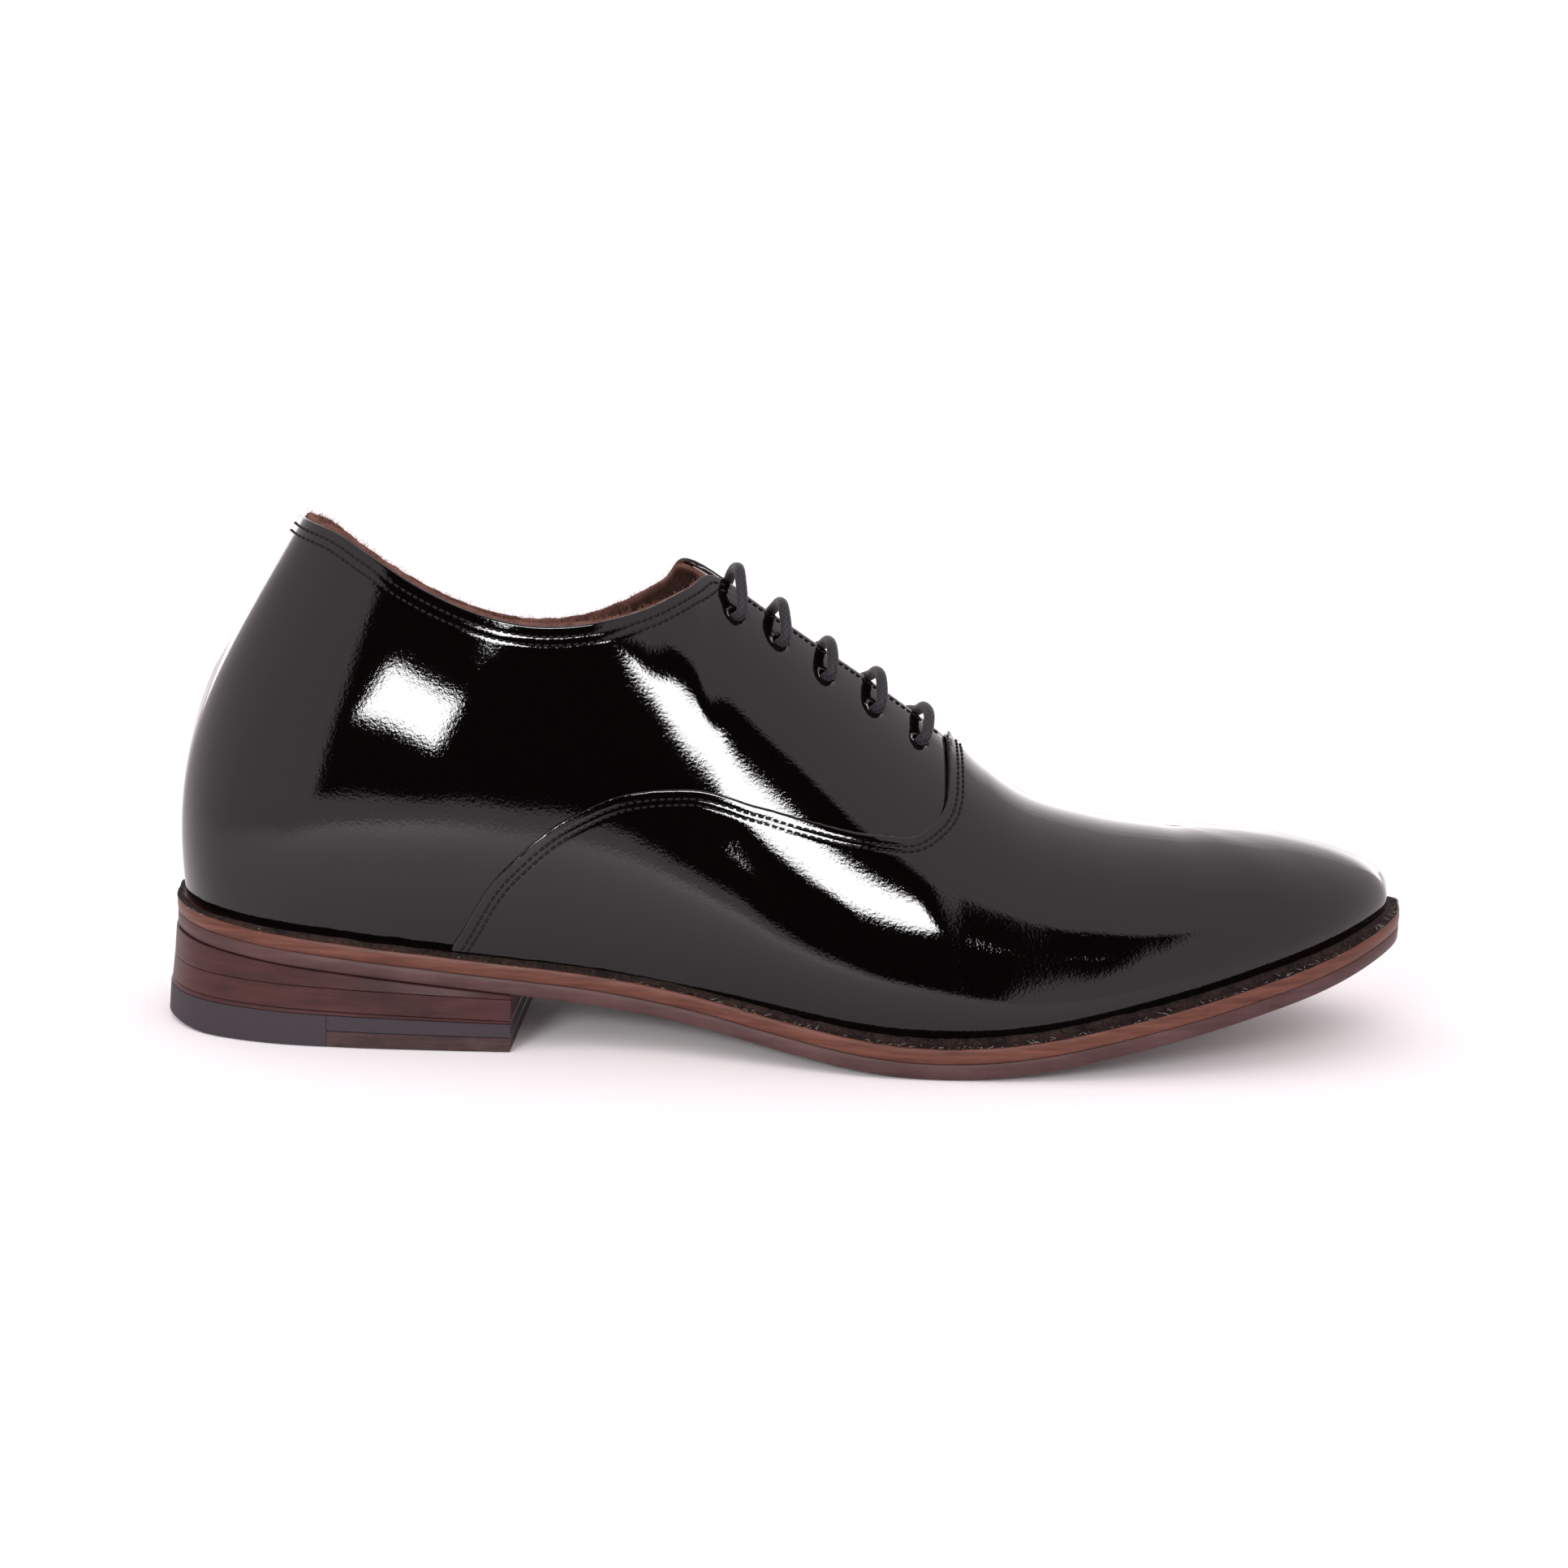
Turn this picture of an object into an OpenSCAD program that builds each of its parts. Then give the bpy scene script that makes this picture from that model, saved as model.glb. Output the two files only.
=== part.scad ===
// Men's plain-toe oxford shoe, right foot, with a raised inside heel wedge.
// X runs from the heel back to the toe, -Y is the outer (lateral) side, +Z is up.
// The origin is on the ground, at the centre of the shoe's plan box.

/* [Overall] */
// Length of the shoe, heel back to toe tip
sole_len = 309; // [290:1:325]
// Width of the sole across the ball
ball_w = 104; // [98:0.5:110]

/* [Sole] */
// Thickness of the welt strip
welt_t = 3.5; // [3:0.1:4]
// Thickness of the leather outsole
outsole_t = 3.7; // [3:0.1:4]
// Thickness of the insole board
insole_t = 2.4; // [1.5:0.1:2.6]
// Height of the inside wedge's top at the back of the heel, above the ground
wedge_top = 61; // [45:1:64]

/* [Heel] */
// Length of the heel, back to breast
heel_len = 88; // [80:1:94]
// Length of the rubber quarter at the back of the top piece
rubber_len = 45; // [30:1:60]
// Diameter of the heel nails
nail_d = 2; // [1.4:0.1:2.4]

/* [Upper] */
// Thickness of the outer leather
leather_t = 1.3; // [1:0.1:1.4]
// Thickness of the lining leather
lining_t = 1.1; // [0.8:0.1:1.2]
// Thickness of the tongue's outer leather
tongue_t = 1.2; // [0.8:0.1:1.4]

/* [Lacing] */
// Diameter of the round lace
lace_d = 2.7; // [2:0.1:2.8]
// Diameter of the punched holes in the outer leather
hole_d = 4; // [3.8:0.1:4.4]

/* [Flex] */
// Distance of the toe flex line from the heel back
flex_x = 206; // [200:1:210]
// Height of the toe flex axis above the ground
flex_z = 12.6; // [12.5:0.1:13.5]

/* [Hidden] */

black_leather = [0.10, 0.09, 0.09];
brown_leather = [0.42, 0.26, 0.18];
dark_brown = [0.24, 0.16, 0.13];
lining_brown = [0.38, 0.26, 0.20];
rubber_black = [0.16, 0.15, 0.15];
lace_grey = [0.22, 0.23, 0.26];
brass = [0.72, 0.56, 0.27];
steel = [0.60, 0.61, 0.63];
cork = [0.66, 0.48, 0.32];
board = [0.62, 0.46, 0.34];

// Clearance between layers that lie on each other, and at the flex line
gap = 0.3;
// The tables below are drawn for this length and ball width
table_len = 309;
table_w = 104;
kx = sole_len / table_len;
ky = ball_w / table_w;
x_mid = 152.9;
y_mid = -0.9;

// Height of the welt's top along the shoe: [x, z]
WELT_TOP = [
    [-2, 30.1], [7, 29], [20, 27.3], [29, 26.1], [45, 24.4], [60, 22.9], [86, 20.3],
    [109, 17.7], [132, 14.4], [154, 10.5], [169, 8.3], [184, 7.2], [199, 7.7], [214, 9.6],
    [232, 13.2], [248, 16.8], [264, 20.7], [282, 25.1], [297, 29.4], [309, 32.8]
];
// The upper is a set of columns numbered 0 at the heel back to LAST at the toe tip.
LAST = 22;
// Lower end of each column on the outer side: [x, y]
FEATHER_LATERAL = [
    [2.8, 0], [6.5, -14], [16, -24.5], [32, -30.3], [50, -32.3], [68, -33], [86, -33],
    [104, -32.5], [121, -33.8], [136, -36.8], [149, -40.3], [162, -43.6], [174, -45.9],
    [185, -46.6], [194, -46.7], [205, -46.3], [219, -44.8], [236, -41.8], [254, -37.2],
    [272, -30.2], [287, -21], [298, -10], [302.6, 1.5]
];
// The same on the inner side
FEATHER_MEDIAL = [
    [2.8, 0], [6.5, 14], [16, 24], [32, 29], [50, 30], [68, 29], [86, 26.5],
    [104, 24.3], [121, 24], [136, 25.8], [149, 29], [162, 33.3], [174, 37.6],
    [185, 41.2], [194, 43.5], [205, 44.8], [219, 44.8], [236, 42.4], [254, 37.8],
    [272, 31], [287, 22], [298, 12], [302.6, 1.5]
];
// Upper end of the columns along the instep ridge, which both sides share
RIDGE = [
    [146.2, 0, 101.9], [161.3, 0, 92.1], [176.4, 0, 82.2], [189.4, 0, 72.6], [199.5, 0, 63.4],
    [212.6, 0, 55.3], [229.6, 0, 50.8], [245.6, 0, 48.8], [251.6, 0, 48.5], [251.6, 0, 48.5],
    [251.6, 0, 48.5], [251.6, 0, 48.5]
];
// Upper end of the columns along the topline, outer side, then the ridge
TOP_LATERAL = concat([
    [31.8, 0, 122.2], [36.4, -9.2, 121], [45, -15.6, 118.1], [54.1, -20.5, 112.9],
    [66.1, -24.6, 106.3], [79.2, -26.8, 101.1], [92.2, -27, 98.7], [105.2, -24.8, 99.5],
    [117.2, -19, 102.7], [126.6, -10.5, 107.3], [132.6, -2.5, 110]
], RIDGE);
// The same on the inner side, where the facing ends a little higher
TOP_MEDIAL = concat([
    [31.8, 0, 122.2], [36.4, 9.2, 120], [45, 15.6, 112.7], [54.1, 20.3, 106.4],
    [65.2, 23.8, 100.5], [76.2, 25.5, 96.8], [87.2, 25.5, 95.5], [99.2, 22.8, 97.2],
    [110.2, 17.2, 102], [119.6, 9.5, 108.2], [126.6, 2.5, 113.7]
], RIDGE);
// Direction and strength with which a column leaves its lower end
RISE = [
    [-3.4, 0, 38.9], [-3, -2.5, 35.5], [-2, -4.5, 30], [0, -5.5, 26], [0, -6, 26], [0, -6.6, 25.9],
    [0, -5.8, 27], [0, -5, 28.1], [0, -4.7, 27.8], [0, -5.6, 27], [0, -7.2, 25.7],
    [0, -7.3, 24.4], [0, -8, 23.6], [0, -8.6, 22.3], [0, -6.7, 20.7], [0, -4.8, 17.8],
    [0.5, -3.2, 15.1], [1, -3.2, 13.6], [1.5, -3.3, 12.2], [2, -3.4, 11.8], [2.8, -3, 11.5],
    [3.4, -1.5, 10.5], [3.5, 0, 10]
];
// The same at its upper end
CROWN = [
    [-24.1, 0, -40.1], [-21.1, -7, -37.6], [-15, -10, -34.2], [-9, -10, -30], [-5, -9, -28],
    [-3, -7.4, -26.3], [-1, -6.1, -26.2], [1, -7.3, -26.1], [2, -12, -23.4], [2, -16.7, -18.2],
    [1, -18.3, -12.7], [0, -18.8, -8.7], [0, -19, -9.3], [0, -19.8, -8.6], [0, -20.8, -4.7],
    [0, -23.5, -1], [0, -25.8, 0.3], [0, -24.9, 0.3], [4, -23, 0.4], [16, -19, 0.2],
    [25, -12, 0], [30, -5.5, 0], [32, 0, 0]
];
// Width of the welt outside the upper, at each column
LEDGE = [
    1.8, 1.9, 2.2, 2.6, 2.8, 2.8, 3, 3.2, 3.6, 4.2, 4.8, 5.4, 5.8, 6, 6.2, 6.3,
    6.4, 6.4, 6.4, 6.3, 5.8, 5.2, 4.8
];
// Edge of the vamp over the quarters: [column, share of its height]
VAMP_SEAM = [
    [5.32, 0.01], [5.5, 0.085], [5.75, 0.2], [6, 0.28], [6.5, 0.395], [7, 0.46], [7.5, 0.495],
    [8, 0.5], [8.5, 0.49], [9, 0.475], [9.5, 0.455], [10, 0.44], [10.5, 0.44], [11, 0.445],
    [11.5, 0.455], [12, 0.47], [12.5, 0.49], [13, 0.515], [13.4, 0.56], [13.7, 0.61],
    [13.88, 0.67], [13.98, 0.75], [14.05, 0.84], [14.09, 0.92], [14.1, 1]
];
// Seam between the quarter lining and the vamp lining, in the same terms
LINING_SEAM = [
    [6.6, 0.01], [6.9, 0.12], [7.3, 0.26], [7.7, 0.34], [8.2, 0.4], [9, 0.42], [10, 0.41],
    [11, 0.42], [12, 0.44], [13, 0.49], [13.5, 0.53], [13.9, 0.6], [14.15, 0.7],
    [14.3, 0.83], [14.36, 1]
];
// Columns that the closed front of the vamp is built on
FRONT_COLUMNS = [14.6, 15.2, 16, 17, 18, 18.6, 19.2, 19.8, 20.4, 21, 21.5];
// First column of the toe puff, and of those that meet in one point on the toe
puff_from = 18;
// Top of the inside wedge along the shoe: [x, share of the wedge's height]
WEDGE_TOP = [
    [8, 1], [30, 0.97], [50, 0.87], [75, 0.68], [100, 0.47], [125, 0.27], [150, 0.1], [168, 0]
];
// Columns where the five lace holes are punched, outer and inner side
HOLES_LATERAL = [10.4, 11.15, 11.9, 12.7, 13.5];
HOLES_MEDIAL = [10.35, 10.85, 11.6, 12.4, 13.25];
// Height of each lace hole on its column, outer and inner side
HOLE_V_LATERAL = [0.87, 0.87, 0.86, 0.86, 0.845];
HOLE_V_MEDIAL = [0.86, 0.86, 0.86, 0.86, 0.86];
quarter_front = 14.35;
rise_gap = 1.2;
profile_step = 8;
puff_out = -0.45;
puff_in = -1.5;
tongue_out = -10.6;

// ---- curves ----

// Smooth curve through evenly numbered rows of a table
function row(tab, i) = tab[max(0, min(len(tab) - 1, i))];
function before(tab, i) = i > 0 ? tab[i - 1] : 2 * tab[0] - tab[1];
function after(tab, i) = i + 2 < len(tab) ? tab[i + 2] : 2 * row(tab, i + 1) - row(tab, i);
function glide(a, b, c, d, t) =
    0.5 * (2 * b + (c - a) * t + (2 * a - 5 * b + 4 * c - d) * t * t
    + (3 * b - a - 3 * c + d) * t * t * t);
function along(tab, u) =
    let (i = min(floor(u), len(tab) - 2))
    glide(before(tab, i), tab[i], tab[i + 1], after(tab, i), u - i);

// Smooth curve through [x, value] rows at uneven x
function slot_of(tab, x, i = 0) =
    i < len(tab) - 2 && x > tab[i + 1][0] ? slot_of(tab, x, i + 1) : i;
function slope(tab, i) =
    let (a = tab[max(i - 1, 0)], b = tab[min(i + 1, len(tab) - 1)])
    (b[1] - a[1]) / (b[0] - a[0]);
function curve(tab, x) =
    let (
        i = slot_of(tab, x),
        h = tab[i + 1][0] - tab[i][0],
        t = max(0, min(1, (x - tab[i][0]) / h)),
        s = 1 - t
    )
    tab[i][1] * (1 + 2 * t) * s * s + slope(tab, i) * h * t * s * s
    + tab[i + 1][1] * t * t * (3 - 2 * t) + slope(tab, i + 1) * h * t * t * (t - 1);

function ease(a, b, x) = let (t = max(0, min(1, (x - a) / (b - a)))) t * t * (3 - 2 * t);
function unit(v) = v / norm(v);

// ---- the upper's surface ----

function welt_z(x) = curve(WELT_TOP, x / kx);
function feather(side, u) =
    let (p = along(side < 0 ? FEATHER_LATERAL : FEATHER_MEDIAL, u))
    [p[0] * kx, p[1] * ky];
function mirror_y(p, side) = [p[0] * kx, -side * p[1] * ky, p[2]];
function top_end(side, u) =
    let (p = along(side < 0 ? TOP_LATERAL : TOP_MEDIAL, u))
    [p[0] * kx, p[1] * ky, p[2]];
function column(side, u) =
    let (
        f = feather(side, u),
        low = [f[0], f[1], welt_z(f[0]) + rise_gap],
        high = top_end(side, u)
    )
    [low, low + mirror_y(along(RISE, u), side), high + mirror_y(along(CROWN, u), side), high];
function bezier(c, t) =
    let (s = 1 - t)
    c[0] * s * s * s + c[1] * 3 * t * s * s + c[2] * 3 * t * t * s + c[3] * t * t * t;
function on_upper(side, u, v) = bezier(column(side, u), v);
function raw_normal(side, u, v) =
    let (
        w = max(0.01, min(0.97, v)),
        step_u = 0.03,
        step_v = 0.005,
        du = on_upper(side, min(LAST, u + step_u), w) - on_upper(side, max(0, u - step_u), w),
        c = column(side, u),
        dv = bezier(c, w + step_v) - bezier(c, w - step_v)
    )
    side * cross(dv, du);
function normal(side, u, v) =
    let (
        n = raw_normal(side, u, v),
        centred = u <= 0 || u >= LAST || (v > 0.999 && u >= 11)
    )
    unit(centred ? [n[0], 0, n[2]] : n);
// A point on the upper, moved outward by off
function skin(side, u, v, off) = on_upper(side, u, v) + normal(side, u, v) * off;

// How deep the lining lies: further in behind the counter and behind the eyelet facings
function lining_depth(u, v) =
    1.65 + 1.6 * (1 - ease(4.6, 6.6, u)) * (1 - ease(0.45, 0.7, v)) + 0.5 * ease(8.6, 10, u);

// ---- shells ----

// Faces of a closed shell between two grids of points, each columns x rows.
// Where the top row of a column from merge on meets its mirror column, both share one point.
// The columns within pole of the middle one all end in a single point.
module shell(outer, inner, flip = false, merge = 10000, pole = -1) {
    cols = len(outer);
    rows = len(outer[0]);
    half = cols * rows;
    middle = (cols - 1) / 2;
    function id(i, j) =
        j < rows - 1 ? i * rows + j
        : abs(i - middle) <= pole ? middle * rows + j
        : i > middle && i >= merge && i <= cols - 1 - merge ? (cols - 1 - i) * rows + j
        : i * rows + j;
    function quad(a, b, c, d) = flip ? [[a, c, b], [a, d, c]] : [[a, b, c], [a, c, d]];
    skins = [
        for (i = [0:cols - 2], j = [0:rows - 2])
            each concat(
                quad(id(i, j), id(i, j + 1), id(i + 1, j + 1), id(i + 1, j)),
                quad(half + id(i, j), half + id(i + 1, j), half + id(i + 1, j + 1), half + id(i, j + 1))
            )
    ];
    lower_rim = [
        for (i = [0:cols - 2])
            each quad(id(i, 0), id(i + 1, 0), half + id(i + 1, 0), half + id(i, 0))
    ];
    top = rows - 1;
    upper_rim = [
        for (i = [0:cols - 2])
            if (i < merge || i > cols - 2 - merge)
                each quad(id(i, top), half + id(i, top), half + id(i + 1, top), id(i + 1, top))
    ];
    last = cols - 1;
    end_rims = [
        for (j = [0:rows - 2])
            each concat(
                quad(id(0, j), half + id(0, j), half + id(0, j + 1), id(0, j + 1)),
                quad(id(last, j), id(last, j + 1), half + id(last, j + 1), half + id(last, j))
            )
    ];
    all_faces = concat(skins, lower_rim, upper_rim, end_rims);
    polyhedron(
        points = concat([for (c = outer) each c], [for (c = inner) each c]),
        faces = [for (f = all_faces) if (f[0] != f[1] && f[1] != f[2] && f[0] != f[2]) f]
    );
}

// A column of a grid: from share v0 to share v1 of column u
function strip(side, u, v0, v1, rows, depth) =
    [for (j = [0:rows]) let (v = v0 + (v1 - v0) * j / rows) skin(side, u, v, depth(u, v))];

// A grid round the front of the shoe: up one seam, round the toe, back down the other
function wrap(seam, rows, depth) =
    concat(
        [for (s = seam) strip(-1, s[0], 0, s[1], rows, depth)],
        [for (u = FRONT_COLUMNS) strip(-1, u, 0, 1, rows, depth)],
        [strip(-1, LAST, 0, 1, rows, depth)],
        [for (k = [len(FRONT_COLUMNS) - 1:-1:0]) strip(1, FRONT_COLUMNS[k], 0, 1, rows, depth)],
        [for (k = [len(seam) - 1:-1:0]) strip(1, seam[k][0], 0, seam[k][1], rows, depth)]
    );

module placed() {
    translate([-x_mid * kx, -y_mid * ky, 0]) children();
}

// ---- sole layers ----

// Edge of a sole layer, out from the feather line by its ledge plus extra
function edge_point(side, u, extra) =
    let (
        a = feather(side, max(0, u - 0.05)),
        b = feather(side, min(LAST, u + 0.05)),
        d = u <= 0 ? [0, -1] : u >= LAST ? [0, 1] : unit(b - a) * -side,
        n = [d[1], -d[0]],
        ledge = along([for (w = LEDGE) [w, 0]], u)[0]
    )
    feather(side, u) + (u <= 0 ? [-1, 0] : u >= LAST ? [1, 0] : n) * (ledge + extra);
function outline(extra) =
    concat(
        [for (u = [0:0.5:LAST]) edge_point(-1, u, extra)],
        [for (u = [LAST - 0.5:-0.5:0.5]) edge_point(1, u, extra)]
    );
// The same measured from the feather line itself
function inside_point(side, u, inset) =
    let (
        a = feather(side, max(0, u - 0.05)),
        b = feather(side, min(LAST, u + 0.05)),
        d = unit(b - a) * -side,
        n = [d[1], -d[0]]
    )
    feather(side, u) - (u <= 0 ? [-1, 0] : u >= LAST ? [1, 0] : n) * inset;
function inside_line(inset) =
    concat(
        [for (u = [0:0.5:LAST]) inside_point(-1, u, inset)],
        [for (u = [LAST - 0.5:-0.5:0.5]) inside_point(1, u, inset)]
    );

// A flat slice seen from the side, between two height functions, pushed through the shoe
module side_slice(x0, x1, top, bottom) {
    count = max(2, round((x1 - x0) / profile_step));
    xs = [for (i = [0:count]) x0 + (x1 - x0) * i / count];
    upper = [for (x = xs) [x, top(x)]];
    lower = [for (i = [count:-1:0]) [xs[i], bottom(xs[i])]];
    translate([0, 70, 0])
        rotate([90, 0, 0])
            linear_extrude(height = 140)
                polygon(concat(upper, lower));
}

module layer(plan, x0, x1, top, bottom) {
    intersection() {
        linear_extrude(height = 140)
            polygon(plan);
        side_slice(x0, x1, top, bottom);
    }
}

x_start = -5;
x_end = sole_len + 5;
rear_end = flex_x - gap / 2;
fore_start = flex_x + gap / 2;
function welt_bottom(x) = welt_z(x) - welt_t;
function sole_bottom(x) = max(0, welt_z(x) - welt_t - outsole_t);

module ring_layer(x0, x1) {
    difference() {
        layer(outline(0), x0, x1, function (x) welt_z(x), function (x) welt_bottom(x));
        translate([0, 0, -1])
            linear_extrude(height = 120)
                polygon(inside_line(filler_inset));
    }
}
filler_inset = 6;

module welt_rear() {
    color(brown_leather) placed() ring_layer(x_start, rear_end);
}

module welt_fore() {
    color(brown_leather) placed() ring_layer(fore_start, x_end);
}

module outsole_rear() {
    color(dark_brown) placed()
        layer(outline(0), x_start, rear_end, function (x) welt_bottom(x), function (x) sole_bottom(x));
}

module outsole_fore() {
    color(dark_brown) placed()
        layer(outline(0), fore_start, x_end, function (x) welt_bottom(x), function (x) sole_bottom(x));
}

shank_x0 = 40;
shank_x1 = 148;
module filler(x0, x1) {
    layer(inside_line(filler_inset + 0.1), x0, x1,
        function (x) welt_z(x) - 0.1, function (x) welt_bottom(x));
}

module cork_filler_rear() {
    color(cork) placed() filler(shank_x1 * kx + 1, rear_end);
}

module cork_filler_fore() {
    color(cork) placed() filler(fore_start, x_end);
}

shank_w = 14;
shank_t = 1.2;
module shank() {
    color(steel) placed() intersection() {
        side_slice(shank_x0 * kx, shank_x1 * kx,
            function (x) welt_z(x) - 1, function (x) welt_z(x) - 1 - shank_t);
        translate([0, -shank_w / 2, 0])
            cube([sole_len, shank_w, 60]);
    }
}

// ---- inside bottom ----

insole_inset = 5;
wedge_inset = 9;
sock_t = 1;
function insole_top(x) = welt_z(x) + 0.1 + insole_t;
function wedge_surface(x) =
    insole_top(x) + 0.3 + (wedge_top - insole_top(8) - 0.3) * max(0, curve(WEDGE_TOP, x / kx));
wedge_x1 = 160;
layer_gap = 0.1;
function sock_bed(x) = layer_gap + (x < wedge_x1 * kx ? wedge_surface(x) : insole_top(x) + 0.3);

module insole_rear() {
    color(board) placed()
        layer(inside_line(insole_inset), x_start, rear_end,
            function (x) insole_top(x), function (x) welt_z(x) + 0.05);
}

module insole_fore() {
    color(board) placed()
        layer(inside_line(insole_inset), fore_start, x_end,
            function (x) insole_top(x), function (x) welt_z(x) + 0.05);
}

module height_wedge() {
    color(cork) placed()
        layer(inside_line(wedge_inset), x_start, wedge_x1 * kx,
            function (x) wedge_surface(x), function (x) insole_top(x) + layer_gap);
}

module sock_rear() {
    color(lining_brown) placed()
        layer(inside_line(wedge_inset), x_start, rear_end,
            function (x) sock_bed(x) + sock_t, function (x) sock_bed(x));
}

module sock_fore() {
    color(lining_brown) placed()
        layer(inside_line(insole_inset + 1), fore_start, x_end,
            function (x) sock_bed(x) + sock_t, function (x) sock_bed(x));
}

// ---- heel ----

// Joint lines of the heel stack, seen from the side
function lift_line_a(x) = 15.2 - 3.2 * x / heel_len;
function lift_line_b(x) = 9.4 - 2.4 * x / heel_len;
function lift_line_c(x) = 8.3 - 1.9 * x / heel_len;
function mid_line(x) = lift_line_c(x) / 2;
// The stack widens towards the ground
function heel_outline(flare) =
    concat(
        [for (u = [0:0.5:8]) edge_point(-1, u, flare)],
        [for (u = [8:-0.5:0.5]) edge_point(1, u, flare)]
    );
// The back of the rubber is bevelled off the ground
bevel_h = 1.4;
bevel_to = 16;
function tread(x) = bevel_h * (1 - ease(-3, bevel_to, x));
module heel_layer(flare, x0, x1, top, bottom) {
    layer(heel_outline(flare), x0, x1, top, bottom);
}

module heel_seat_lift() {
    color(dark_brown) placed()
        heel_layer(0.8, x_start, heel_len,
            function (x) sole_bottom(x) - 0.05, function (x) lift_line_a(x));
}

module heel_main_lift() {
    color(dark_brown) placed()
        heel_layer(1.4, x_start, heel_len, function (x) lift_line_a(x), function (x) lift_line_b(x));
}

module heel_thin_lift() {
    color(dark_brown) placed()
        heel_layer(2, x_start, heel_len, function (x) lift_line_b(x), function (x) lift_line_c(x));
}

// Nails that hold the top piece: [x, y] of each, in two rows round its edge
nail_len = 5.5;
NAIL_SPOTS = [
    [10, -12], [10, 12], [22, -21], [22, 21], [36, -24], [36, 24], [54, -25.5], [54, 24],
    [68, -26], [68, 22], [78, -17], [79, -5], [79, 7], [78, 16]
];
module nail_set(d, length) {
    for (p = NAIL_SPOTS)
        translate([p[0] * kx, p[1] * ky, 0])
            cylinder(d = d, h = length, $fn = 24);
}

module heel_rubber() {
    color(rubber_black) placed() difference() {
        heel_layer(2.6, x_start, rubber_len, function (x) lift_line_c(x), function (x) tread(x));
        nail_set(nail_d, nail_len);
    }
}

module heel_dark_layer() {
    color(rubber_black) placed() difference() {
        heel_layer(2.4, rubber_len, heel_len, function (x) lift_line_c(x), function (x) mid_line(x));
        nail_set(nail_d, nail_len);
    }
}

module heel_top_leather() {
    color(brown_leather) placed() difference() {
        heel_layer(2.6, rubber_len, heel_len, function (x) mid_line(x), function (x) 0);
        nail_set(nail_d, nail_len);
    }
}

module heel_nails() {
    color(brass) placed() nail_set(nail_d, nail_len);
}

// ---- upper ----

vamp_in = 0.15;
quarter_out = -0.1;
seam_cols = len(VAMP_SEAM) - 1;
pole_cols = len([for (u = FRONT_COLUMNS) if (u >= puff_from) u]);
vamp_rows = 10;
lining_cols = len(LINING_SEAM) - 1;
lining_rows = 9;

module vamp() {
    color(black_leather) placed()
        shell(
            wrap(VAMP_SEAM, vamp_rows, function (u, v) vamp_in + leather_t),
            wrap(VAMP_SEAM, vamp_rows, function (u, v) vamp_in),
            merge = seam_cols,
            pole = pole_cols
        );
}

module vamp_lining() {
    color(lining_brown) placed()
        shell(
            wrap(LINING_SEAM, vamp_rows, function (u, v) -lining_depth(u, v)),
            wrap(LINING_SEAM, vamp_rows, function (u, v) -lining_depth(u, v) - lining_t),
            merge = lining_cols,
            pole = pole_cols
        );
}

module toe_puff() {
    cols = [for (u = FRONT_COLUMNS) if (u >= puff_from) u];
    function puff_grid(off) = concat(
        [for (u = cols) strip(-1, u, 0.02, 1, vamp_rows, function (u, v) off)],
        [strip(-1, LAST, 0.02, 1, vamp_rows, function (u, v) off)],
        [for (k = [len(cols) - 1:-1:0]) strip(1, cols[k], 0.02, 1, vamp_rows, function (u, v) off)]
    );
    color(board) placed() shell(puff_grid(puff_out), puff_grid(puff_in), merge = 0, pole = pole_cols);
}

// Height share where the quarter starts, tucked under the vamp's seam
underlay = 0.09;
function seam_v(seam, u) = u <= seam[0][0] ? 0 : curve(seam, u);
function quarter_foot(u) = max(0, min(0.66, seam_v(VAMP_SEAM, min(u, 13.9))) - underlay);
// Height share where it ends, leaving the slit between the facings
function quarter_head(u, slit) = 1 - slit * ease(10.2, 11, u);
QUARTER_COLUMNS = concat([for (u = [0:0.5:5]) u], [for (u = [5.4:0.4:9.4]) u],
    [for (u = [9.8:0.35:14.35]) u]);
quarter_rows = 10;
// Slit between each facing edge and the centre line, as a share of the column
facing_slit = 0.014;

module quarter_shell(side, off_out, off_in) {
    function grid(off) = [
        for (u = QUARTER_COLUMNS)
            strip(side, u, quarter_foot(u), quarter_head(u, facing_slit), quarter_rows,
                function (u, v) off)
    ];
    shell(grid(off_out), grid(off_in), flip = side > 0);
}

// Frame of a lace hole: its point on the upper and its outward direction
module at_hole(side, k) {
    p = hole_at(side, k, 0);
    n = hole_normal(side, k);
    translate(p)
        rotate([0, acos(n[2]), atan2(n[1], n[0])])
            children();
}
function hole_columns(side) = side < 0 ? HOLES_LATERAL : HOLES_MEDIAL;
function hole_heights(side) = side < 0 ? HOLE_V_LATERAL : HOLE_V_MEDIAL;
// A hole's axis point at height off above the upper, and its direction
function hole_at(side, k, off) = skin(side, hole_columns(side)[k], hole_heights(side)[k], off);
function hole_normal(side, k) = normal(side, hole_columns(side)[k], hole_heights(side)[k]);
drill_len = 9;

module drills(side, d) {
    for (k = [0:4])
        at_hole(side, k)
            translate([0, 0, -drill_len / 2])
                cylinder(d = d, h = drill_len, $fn = 24);
}

module quarter_lateral() {
    color(black_leather) placed() difference() {
        quarter_shell(-1, quarter_out, quarter_out - leather_t);
        drills(-1, hole_d);
    }
}

module quarter_medial() {
    color(black_leather) placed() difference() {
        quarter_shell(1, quarter_out, quarter_out - leather_t);
        drills(1, hole_d);
    }
}

// Outer diameter of the blind eyelets' barrels
barrel_d = 5;
eyelet_bore = 4.1;

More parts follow.
